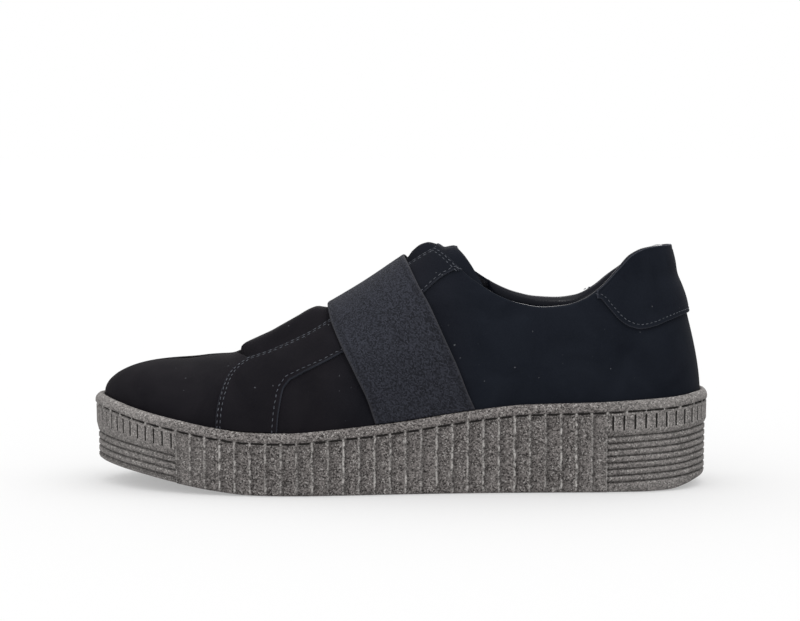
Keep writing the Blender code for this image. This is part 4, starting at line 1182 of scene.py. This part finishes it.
# Cup sole: a plain wall is laid out here, then the tree carves what repeats along it
soleShape = {
    "ribs": 28, "ribPoints": 14, "heelZone": 0.174, "toeZone": 0.857, "cells": 14, "cellPoints": 12,
    "band": 0.0003, "land": 0.0009, "ribDepth": 0.0011, "levelDepth": 0.0009, "tickDepth": 0.0011,
    "taper": 0.0004, "taperFrom": 0.005, "bumper": 0.0011, "bumperFrom": 0.86, "toeLift": 0.0027,
    "rim": ((0.0030, 0.0100), (0.0030, 0.0007), (0.0027, 0.0002), (0.0021, 0.0), (0.0013, 0.0003),
            (0.0006, 0.0011), (0.00015, 0.0020), (0.0, 0.0030), (0.0, 0.0038), (0.0001, 0.0041),
            (0.0002, 0.0044), (0.0003, 0.0047), (0.0003, 0.0050), (0.0003, 0.0053)),
    "seamAt": (0.1, 0.75, 1.0, 0.75, 0.1), "seamDepth": 0.0011,
    "tickBand": (0.0056, 0.0132), "firstGroove": 0.0155, "heelGrooves": (8, 0.00287),
    "toeGrooves": (4, 0.00307), "grooveHalf": 0.0008, "edgeRound": 0.0020, "inset": 0.008,
    "grooveSteps": ((-1.0, 0.0), (-0.5, 0.55), (0.0, 1.0), (0.5, 0.55), (1.0, 0.0)), "flatten": 0.8,
    "tipSeams": 8, "zoneStep": 0.0003, "tickRamp": (0.0, 0.0003, 0.0010), "looseRows": 2,
    "ribTop": 0.7, "ribEnds": (0.85, 0.55, 0.25), "turns": (0.25, 0.5, 0.75, 1.0),
}


def makeCarveTree():
    floats = (("Rib Depth", soleShape["ribDepth"]), ("Rib Sharpness", 2.0),
              ("Level Depth", soleShape["levelDepth"]), ("Tick Depth", soleShape["tickDepth"]),
              ("Tick Width", 0.095), ("Tick Slope", 1.8), ("Seam Depth", soleShape["seamDepth"]),
              ("Bridge Sharpness", 5.0))
    tree, start, end = makeGroup(
        "carveSoleWall", "GeometryNodeTree",
        [("Geometry", "NodeSocketGeometry", None), ("Rubber", "NodeSocketMaterial", None)]
        + [(label, "NodeSocketFloat", value) for label, value in floats],
        [("Geometry", "NodeSocketGeometry")])

    def named(key, kind="FLOAT"):
        return addNode(tree, "GeometryNodeInputNamedAttribute", {"Name": key}, data_type=kind).outputs[0]

    # ribs: hollow between sharp crests at each whole number
    hollow = minus(tree, 1.0, maths(
        tree, "POWER", nearWhole(tree, named("ribPhase")), start["Rib Sharpness"]))
    ribs = times(tree, hollow, named("ribMask"), start["Rib Depth"])
    # ticks: short upright cuts in the middle of each cell
    tickAway = maths(tree, "ABSOLUTE", minus(tree, maths(tree, "FRACT", named("tickPhase")), 0.5))
    tick = minus(tree, 1.0, maths(tree, "DIVIDE", tickAway, start["Tick Width"]))
    tick = times(tree, tick, start["Tick Slope"])
    tick = maths(tree, "MINIMUM", maths(tree, "MAXIMUM", tick, 0.0), 1.0)
    ticks = times(tree, tick, named("tickMask"), start["Tick Depth"])
    # level grooves follow their own mask down the wall, and bridges break the seam
    level = named("levelMask")
    seam = times(tree, named("seamMask"), minus(tree, 1.0, maths(
        tree, "POWER", nearWhole(tree, named("seamPhase")), start["Bridge Sharpness"])))
    depth = plus(tree, plus(tree, ribs, ticks), plus(tree, times(tree, level, start["Level Depth"]),
                                                     times(tree, seam, start["Seam Depth"])))
    moved = addNode(tree, "GeometryNodeSetPosition", {
        "Geometry": start["Geometry"],
        "Offset": scaled(tree, named("outward", "FLOAT_VECTOR"), times(tree, depth, -1.0))})
    # the level grooves and the seam are stored as deep, which the rubber paints with shade
    deep = addNode(tree, "GeometryNodeStoreNamedAttribute", {
        "Geometry": moved.outputs[0], "Name": "deep", "Value": maths(tree, "MAXIMUM", level, seam)},
        data_type="FLOAT", domain="POINT")
    real = addNode(tree, "GeometryNodeRealizeInstances", {"Geometry": deep.outputs[0]})
    done = addNode(tree, "GeometryNodeSetMaterial", {
        "Geometry": real.outputs[0], "Material": start["Rubber"]})
    tree.links.new(done.outputs[0], end.inputs[0])
    return tree


# Runs a tree on an object and leaves its plain mesh
def runTree(name, source, tree, values):
    modifier = source.modifiers.new(name, "NODES")
    modifier.node_group = tree
    for item in tree.interface.items_tree:
        if item.item_type == "SOCKET" and item.in_out == "INPUT" and item.name in values:
            modifier[item.identifier] = values[item.name]
    source.update_tag()
    bpy.context.view_layer.update()
    shown = source.evaluated_get(bpy.context.evaluated_depsgraph_get())
    mesh = bpy.data.meshes.new_from_object(shown)
    mesh.name = name
    old = source.data
    source.modifiers.remove(modifier)
    bpy.data.objects.remove(source)
    if old.users == 0:
        bpy.data.meshes.remove(old)
    piece = bpy.data.objects.new(name, mesh)
    bpy.context.scene.collection.objects.link(piece)
    return piece


# Where the ribs begin and end, as shares of the way round
def soleZones():
    line = outlines[outerSide]
    return [float(np.interp(soleShape[key], shareOf(line["curve"][:, 0]), line["share"]))
            for key in ("heelZone", "toeZone")]


def buildSoleWall():
    shape = soleShape
    heel, toe = soleZones()
    # columns of one side: place, zone, phase
    half = []
    for zone, first, last, cells, points in (("heel", 0.0, heel, shape["cells"], shape["cellPoints"]),
                                             ("rib", heel, toe, shape["ribs"], shape["ribPoints"]),
                                             ("toe", toe, 1.0, shape["cells"], shape["cellPoints"])):
        phase = np.linspace(0, cells, cells * points + 1)
        around = first + (last - first) * phase / cells
        around[0] += shape["zoneStep"] if zone != "heel" else 0
        around[-1] -= shape["zoneStep"] if zone != "toe" else 0
        half += [(a, zone, p) for a, p in zip(around, phase)]
    ring = [(outerSide, *c) for c in half] + [(innerSide, *c) for c in half[-2:0:-1]]
    side = np.array([c[0] for c in ring])
    around = np.array([c[1] for c in ring])
    zone = np.array([c[2] for c in ring])
    phase = np.array([c[3] for c in ring])
    curve, normal = np.empty((len(ring), 2)), np.empty((len(ring), 2))
    for s in (outerSide, innerSide):
        curve[side == s], normal[side == s] = outlineAt(s, around[side == s])
    top, floor = rimZ(curve[:, 0]), bottomZ(curve[:, 0])
    height = top - floor

    swell = np.clip((around - shape["bumperFrom"]) / (1 - shape["bumperFrom"]), 0, 1)
    swell = shape["bumper"] * swell * swell * (3 - 2 * swell)

    # rows under the rim, each as depth, drop, level groove and tick; every zone has as many
    tickTop, tickLow = shape["tickBand"]
    tickDrops = [tickTop + d for d in shape["tickRamp"]] + [(tickTop + tickLow) / 2]
    tickDrops += [tickLow - d for d in reversed(shape["tickRamp"])]
    grooveRows = len(shape["grooveSteps"]) * shape["heelGrooves"][0]
    count = len(tickDrops) + grooveRows + shape["looseRows"]

    def zoneRows(kind, tall):
        low = tall - shape["edgeRound"]
        if kind == "rib":
            return [(0.0, drop, 0.0, 0.0) for drop in np.linspace(tickTop, low, count)]
        number, pitch = shape["heelGrooves"] if kind == "heel" else shape["toeGrooves"]
        rows = [(shape["band"], drop, 0.0, 1.0 if 2 <= i <= 4 else 0.0) for i, drop in enumerate(tickDrops)]
        start = shape["firstGroove"] if kind == "heel" else tall - shape["toeLift"] - (number - 1) * pitch
        for i in range(number):
            for step, cut in shape["grooveSteps"]:
                rows.append((shape["land"], start + i * pitch + step * shape["grooveHalf"], cut, 0.0))
        left = count - len(rows)
        last = rows[-1][1]
        return rows + [(shape["land"], last + (low - last) * (k + 1) / left, 0.0, 0.0) for k in range(left)]

    allRows, values = [], {key: [] for key in ("ribPhase", "ribMask", "tickPhase", "tickMask", "levelMask",
                                               "seamMask", "seamPhase", "outward")}
    rim, radius = len(shape["rim"]), shape["edgeRound"]
    body = slice(rim, rim + count)
    for k in range(len(ring)):
        rows = [(d, z, 0.0, 0.0) for d, z in shape["rim"]] + zoneRows(zone[k], height[k])
        column = []
        for d, z, _, _ in rows:
            lean = shape["taper"] * max(0.0, z - shape["taperFrom"]) / height[k]
            lean -= swell[k] * max(0.0, 1 - d / shoe["rimWidth"])
            column.append((*(curve[k] - normal[k] * (d + lean)), top[k] - z))
        for turn in shape["turns"]:
            angle = math.pi / 2 * turn
            inward = rows[-1][0] + shape["taper"] - swell[k]
            inward += radius * (1 - math.cos(angle)) * shape["flatten"]
            column.append((*(curve[k] - normal[k] * inward), floor[k] + radius * (1 - math.sin(angle))))
        inward = curve[k] - normal[k] * shape["inset"]
        column += [(*inward, floor[k]), (*inward, top[k] - shoe["cupDepth"])]
        allRows.append(column)
        n = len(column)
        isRib = zone[k] == "rib"
        ribs, ticks, levels, seams = np.zeros((4, n))
        if isRib:
            ribs[body] = 1.0
            ribs[rim] = shape["ribTop"]
            ribs[rim + count:rim + count + len(shape["ribEnds"])] = shape["ribEnds"]
        ticks[body] = [row[3] for row in rows[rim:]]
        levels[body] = [row[2] for row in rows[rim:]]
        seams[rim - len(shape["seamAt"]):rim] = shape["seamAt"]
        stitches = phase[k] * (1.0 if isRib else shape["tipSeams"] / shape["cells"])
        for key, data in (("ribMask", ribs), ("tickMask", ticks), ("levelMask", levels), ("seamMask", seams),
                          ("ribPhase", np.full(n, phase[k])), ("tickPhase", np.full(n, phase[k])),
                          ("seamPhase", np.full(n, stitches)),
                          ("outward", np.tile((*normal[k], 0.0), (n, 1)))):
            values[key].append(data)
    points = np.array(allRows)
    ids = np.arange(points.shape[0] * points.shape[1]).reshape(points.shape[:2])
    faces = gridFaces(ids, wrap=True) + gridFaces(ids[:, [-1, 0]], wrap=True)
    values = {key: np.concatenate(data) for key, data in values.items()}
    plain = makePiece("plainWall", points.reshape(-1, 3), faces, [rubber], values=values)
    piece = runTree("cupSole", plain, makeCarveTree(), {"Rubber": rubber})
    for key in ("levelMask", "outward"):
        piece.data.attributes.remove(piece.data.attributes[key])
    return piece


# Tread: a plate across the bottom with level bars, edges softened
treadShape = {"deep": 0.0016, "core": 0.006, "across": 14, "overlap": 0.0002, "dark": 0.5, "plainEnds": 3,
              "bar": ((0.0, 0.0), (0.08, 0.5), (0.16, 1.0), (0.5, 1.0), (0.84, 1.0), (0.92, 0.5))}


def buildTread():
    shape = treadShape
    # the bars keep the stations of the frame's sole
    heel, toe = soleZones()
    cells = soleShape["cells"]
    stations = spread(0.0, (cells, heel), (soleShape["ribs"], toe), (cells, 1.0))
    last = len(stations) - 1
    around, deep = [], []
    for i in range(last):
        cut = i % 2 == 1 and shape["plainEnds"] <= i <= last - shape["plainEnds"] - 1
        for share, low in shape["bar"]:
            around.append(stations[i] + (stations[i + 1] - stations[i]) * share)
            deep.append(low * cut)
    around, deep = np.array(around + [1.0]), np.array(deep + [0.0])
    flat = betweenOutlines(around, np.linspace(0, 1, shape["across"]), soleShape["inset"] - shape["overlap"])
    floor = bottomZ(flat[..., 0])
    low = np.concatenate([flat, (floor + deep[:, None] * shape["deep"])[..., None]], -1)
    high = np.concatenate([flat, (floor + shape["core"])[..., None]], -1)
    points, faces = closedSheet(low, high)
    # the cut bars go into deep, which the rubber paints with shade
    dark = np.repeat(deep * shape["dark"], shape["across"])
    return makePiece("treadPlate", points, faces, [rubber],
                     values={"deep": np.concatenate([dark, np.zeros(len(dark))])}, weld=5e-6)


# Stitches: one small thread loop repeated along a path on the leather
def makeStitchTree():
    floats = (("Pitch", 0.0026), ("Length", 0.0017), ("Width", 0.0006), ("Height", 0.00045),
              ("Wander", 0.10))
    tree, start, end = makeGroup(
        "stitchRow", "GeometryNodeTree",
        [("Geometry", "NodeSocketGeometry", None), ("Thread", "NodeSocketMaterial", None),
         ("Seed", "NodeSocketInt", 4)]
        + [(label, "NodeSocketFloat", value) for label, value in floats],
        [("Geometry", "NodeSocketGeometry")])
    curve = addNode(tree, "GeometryNodeMeshToCurve", {"Mesh": start["Geometry"]})
    evenly = addNode(tree, "GeometryNodeResampleCurve", {
        "Curve": curve.outputs[0], "Length": start["Pitch"]}, mode="LENGTH")
    up = addNode(tree, "GeometryNodeInputNamedAttribute", {"Name": "surfaceUp"},
                 data_type="FLOAT_VECTOR").outputs[0]
    tangent = addNode(tree, "GeometryNodeInputTangent").outputs[0]
    turn = addNode(tree, "FunctionNodeAxesToRotation", {"Primary Axis": tangent, "Secondary Axis": up},
                   primary_axis="X", secondary_axis="Z")
    wander = addNode(tree, "FunctionNodeRandomValue", {
        "Seed": start["Seed"], 0: (-1.0, -1.0, -1.0), 1: (1.0, 1.0, 1.0)},
        data_type="FLOAT_VECTOR")
    loop = addNode(tree, "GeometryNodeMeshUVSphere", {"Segments": 8, "Rings": 6, "Radius": 0.5})
    size = addNode(tree, "ShaderNodeCombineXYZ", {0: start["Length"], 1: start["Width"],
                                                  2: start["Height"]})
    tilted = addNode(tree, "FunctionNodeEulerToRotation", {
        "Euler": scaled(tree, wander.outputs[0], start["Wander"])})
    both = addNode(tree, "FunctionNodeRotateRotation", {"Rotation": turn.outputs[0],
                                                       "Rotate By": tilted.outputs[0]},
                   rotation_space="LOCAL")
    placed = addNode(tree, "GeometryNodeInstanceOnPoints", {
        "Points": evenly.outputs[0], "Instance": loop.outputs["Mesh"], "Rotation": both.outputs[0],
        "Scale": size.outputs[0]})
    real = addNode(tree, "GeometryNodeRealizeInstances", {"Geometry": placed.outputs[0]})
    smooth = addNode(tree, "GeometryNodeSetShadeSmooth", {"Geometry": real.outputs[0]})
    done = addNode(tree, "GeometryNodeSetMaterial", {"Geometry": smooth.outputs[0],
                                                     "Material": start["Thread"]})
    tree.links.new(done.outputs[0], end.inputs[0])
    return tree


stitchTree = makeStitchTree()


# rows is a list of point lists with the surface's outward direction at each point
def sewRows(name, rows, thread, sizes):
    points, ups, edges = [], [], []
    for line, normals in rows:
        first = len(points)
        points += [tuple(p) for p in line]
        ups += [tuple(n) for n in normals]
        edges += [(first + i, first + i + 1) for i in range(len(line) - 1)]
    mesh = bpy.data.meshes.new(name + "Path")
    mesh.from_pydata(points, edges, [])
    layer = mesh.attributes.new("surfaceUp", "FLOAT_VECTOR", "POINT")
    layer.data.foreach_set("vector", np.asarray(ups, np.float32).ravel())
    source = bpy.data.objects.new(name + "Path", mesh)
    bpy.context.scene.collection.objects.link(source)
    piece = runTree(name, source, stitchTree, {"Thread": thread, **sizes})
    print(name, len(piece.data.polygons), "faces")
    return piece


# Steps along the paths and the thread of each seam
seamShape = {
    "step": 0.0013, "heelStep": 0.0010, "sink": 0.00008,
    "soleDepth": 0.0007, "soleDrop": 0.0047, "perStitch": 4,
    "upper": {"Pitch": 0.0027, "Length": 0.0018, "Width": 0.00044, "Height": 0.00040, "Wander": 0.16},
    "heel": {"Pitch": 0.0021, "Length": 0.0014, "Width": 0.00042, "Height": 0.00040, "Wander": 0.16},
    "sole": {"Pitch": 0.0066, "Length": 0.0050, "Width": 0.0009, "Height": 0.0008, "Wander": 0.02},
}


def overSkin(path):
    return placedSkin(path[:, 0], path[:, 1], shoe["gap"] + shoe["overlay"] - seamShape["sink"])


def buildUpperStitches():
    rows = []
    for side in (outerSide, innerSide):
        first, second = eyestayPaths(side)
        # the sign of the side puts each row inside the edges of its sheet
        for distance in stitchPlan["front"]:
            rows.append(overSkin(evenPath(offsetPath(first, distance * side), seamShape["step"])))
        rows.append(overSkin(evenPath(offsetPath(second, -bendInset(second) * side), seamShape["step"])))
    return sewRows("upperStitches", rows, upperThread, seamShape["upper"])


def buildHeelStitches():
    low, _ = heelTabPaths()
    rows = [overSkin(evenPath(offsetPath(low, stitchPlan["heel"]), seamShape["heelStep"]))]
    return sewRows("heelStitches", rows, upperThread, seamShape["heel"])


def buildSoleStitches():
    rows = []
    heel, toe = soleZones()
    for side in (outerSide, innerSide):
        for first, last, count in ((0.0, heel, soleShape["tipSeams"]), (heel, toe, soleShape["ribs"]),
                                   (toe, 1.0, soleShape["tipSeams"])):
            pace = (last - first) / count
            order = np.linspace(first + pace / 2, last - pace / 2, seamShape["perStitch"] * (count - 1) + 1)
            curve, normal = outlineAt(side, order)
            line = np.column_stack([curve - normal * seamShape["soleDepth"],
                                    rimZ(curve[:, 0]) - seamShape["soleDrop"]])
            rows.append((line, np.column_stack([normal, np.zeros(len(normal))])))
    return sewRows("soleStitches", rows, soleThread, seamShape["sole"])


# Build, ride on the root and hide the frame parts each piece stands in for
def settle(piece, slot, *nodes):
    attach(piece, "root")
    if nodes:
        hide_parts(*nodes)
    return piece


settle(buildUpper(), "nubuck_black", "upper")
for piece, node in buildEyestays():
    settle(piece, "nubuck_black", node)
settle(buildHeelTab(), "nubuck_black", "heel_tab")
print("upper and overlays built")
settle(buildBand(), "elastic_grey", "strap")
tonguePiece = settle(buildTongue(), "nubuck_black", "tongue")
collarPiece = settle(buildCollar(), "nubuck_black")
settle(buildLining(), "footbed_black")
footbedPiece = settle(buildFootbed(), "footbed_black", "insole")
print("tongue, collar and footbed built")
settle(buildSoleWall(), "rubber_grey", "outsole")
settle(buildTread(), "rubber_grey", "outsole")
print("sole built")
settle(buildUpperStitches(), "elastic_grey")
settle(buildHeelStitches(), "elastic_grey")
settle(buildSoleStitches(), "elastic_grey")
print("stitches sewn")


# Pale floor, soft studio light, and the camera of the photograph
studio = {
    "floor": (0.66, 0.66, 0.66), "floorGlow": 0.345, "floorSize": 30.0, "world": 1.0,
    "cameraAt": (-0.0006, -1.000, 0.150), "pitch": 4.165, "lens": 100.0, "sensor": 36.0,
    "lamps": (("overhead", (0.10, -0.15, 0.95), (0.0, 0.0, 0.05), 0.9, 7.5),
              ("frontFill", (-0.55, -0.95, 0.55), (0.0, 0.0, 0.05), 0.7, 4.0),
              ("backRim", (0.35, 0.80, 0.60), (0.0, 0.0, 0.07), 0.6, 4.0),
              ("collarGlint", (0.16, -0.55, 0.85), (0.05, 0.0, 0.08), 0.06, 1.2)),
}


def buildStudio():
    size = studio["floorSize"]
    mesh = bpy.data.meshes.new("floor")
    corners = [(x * size, y * size, -0.0002) for x, y in ((-1, -1), (1, -1), (1, 1), (-1, 1))]
    mesh.from_pydata(corners, [], [(0, 1, 2, 3)])
    floor = bpy.data.objects.new("floor", mesh)
    bpy.context.scene.collection.objects.link(floor)
    material, _, shader = newMaterial("floor_white", studio["floor"], roughness=1.0, specular=0.0)
    shader.inputs["Emission Color"].default_value = (1.0, 1.0, 1.0, 1.0)
    shader.inputs["Emission Strength"].default_value = studio["floorGlow"]
    mesh.materials.append(material)
    world = bpy.data.worlds.new("studio")
    world.use_nodes = True
    world.node_tree.nodes["Background"].inputs[0].default_value = (1.0, 1.0, 1.0, 1.0)
    world.node_tree.nodes["Background"].inputs[1].default_value = studio["world"]
    bpy.context.scene.world = world
    # the lamps leave the floor alone, so it keeps only the soft shadow of the room
    unlit = bpy.data.collections.new("unlit")
    unlit.objects.link(floor)
    unlit.collection_objects[0].light_linking.link_state = "EXCLUDE"
    for name, at, aim, width, power in studio["lamps"]:
        light = bpy.data.lights.new(name, "AREA")
        light.energy, light.size = power, width
        lamp = bpy.data.objects.new(name, light)
        lamp.light_linking.receiver_collection = unlit
        lamp.location = at
        lamp.rotation_euler = (Vector(aim) - Vector(at)).to_track_quat("-Z", "Y").to_euler()
        bpy.context.scene.collection.objects.link(lamp)
    camera = bpy.data.cameras.new("camera")
    camera.lens, camera.sensor_width = studio["lens"], studio["sensor"]
    camera.clip_start, camera.clip_end = 0.01, 50.0
    eye = bpy.data.objects.new("camera", camera)
    eye.location = studio["cameraAt"]
    eye.rotation_euler = (math.radians(90.0 - studio["pitch"]), 0.0, 0.0)
    bpy.context.scene.collection.objects.link(eye)
    bpy.context.scene.camera = eye
    bpy.context.scene.view_settings.view_transform = "Standard"
    bpy.context.scene.view_settings.look = "None"


buildStudio()
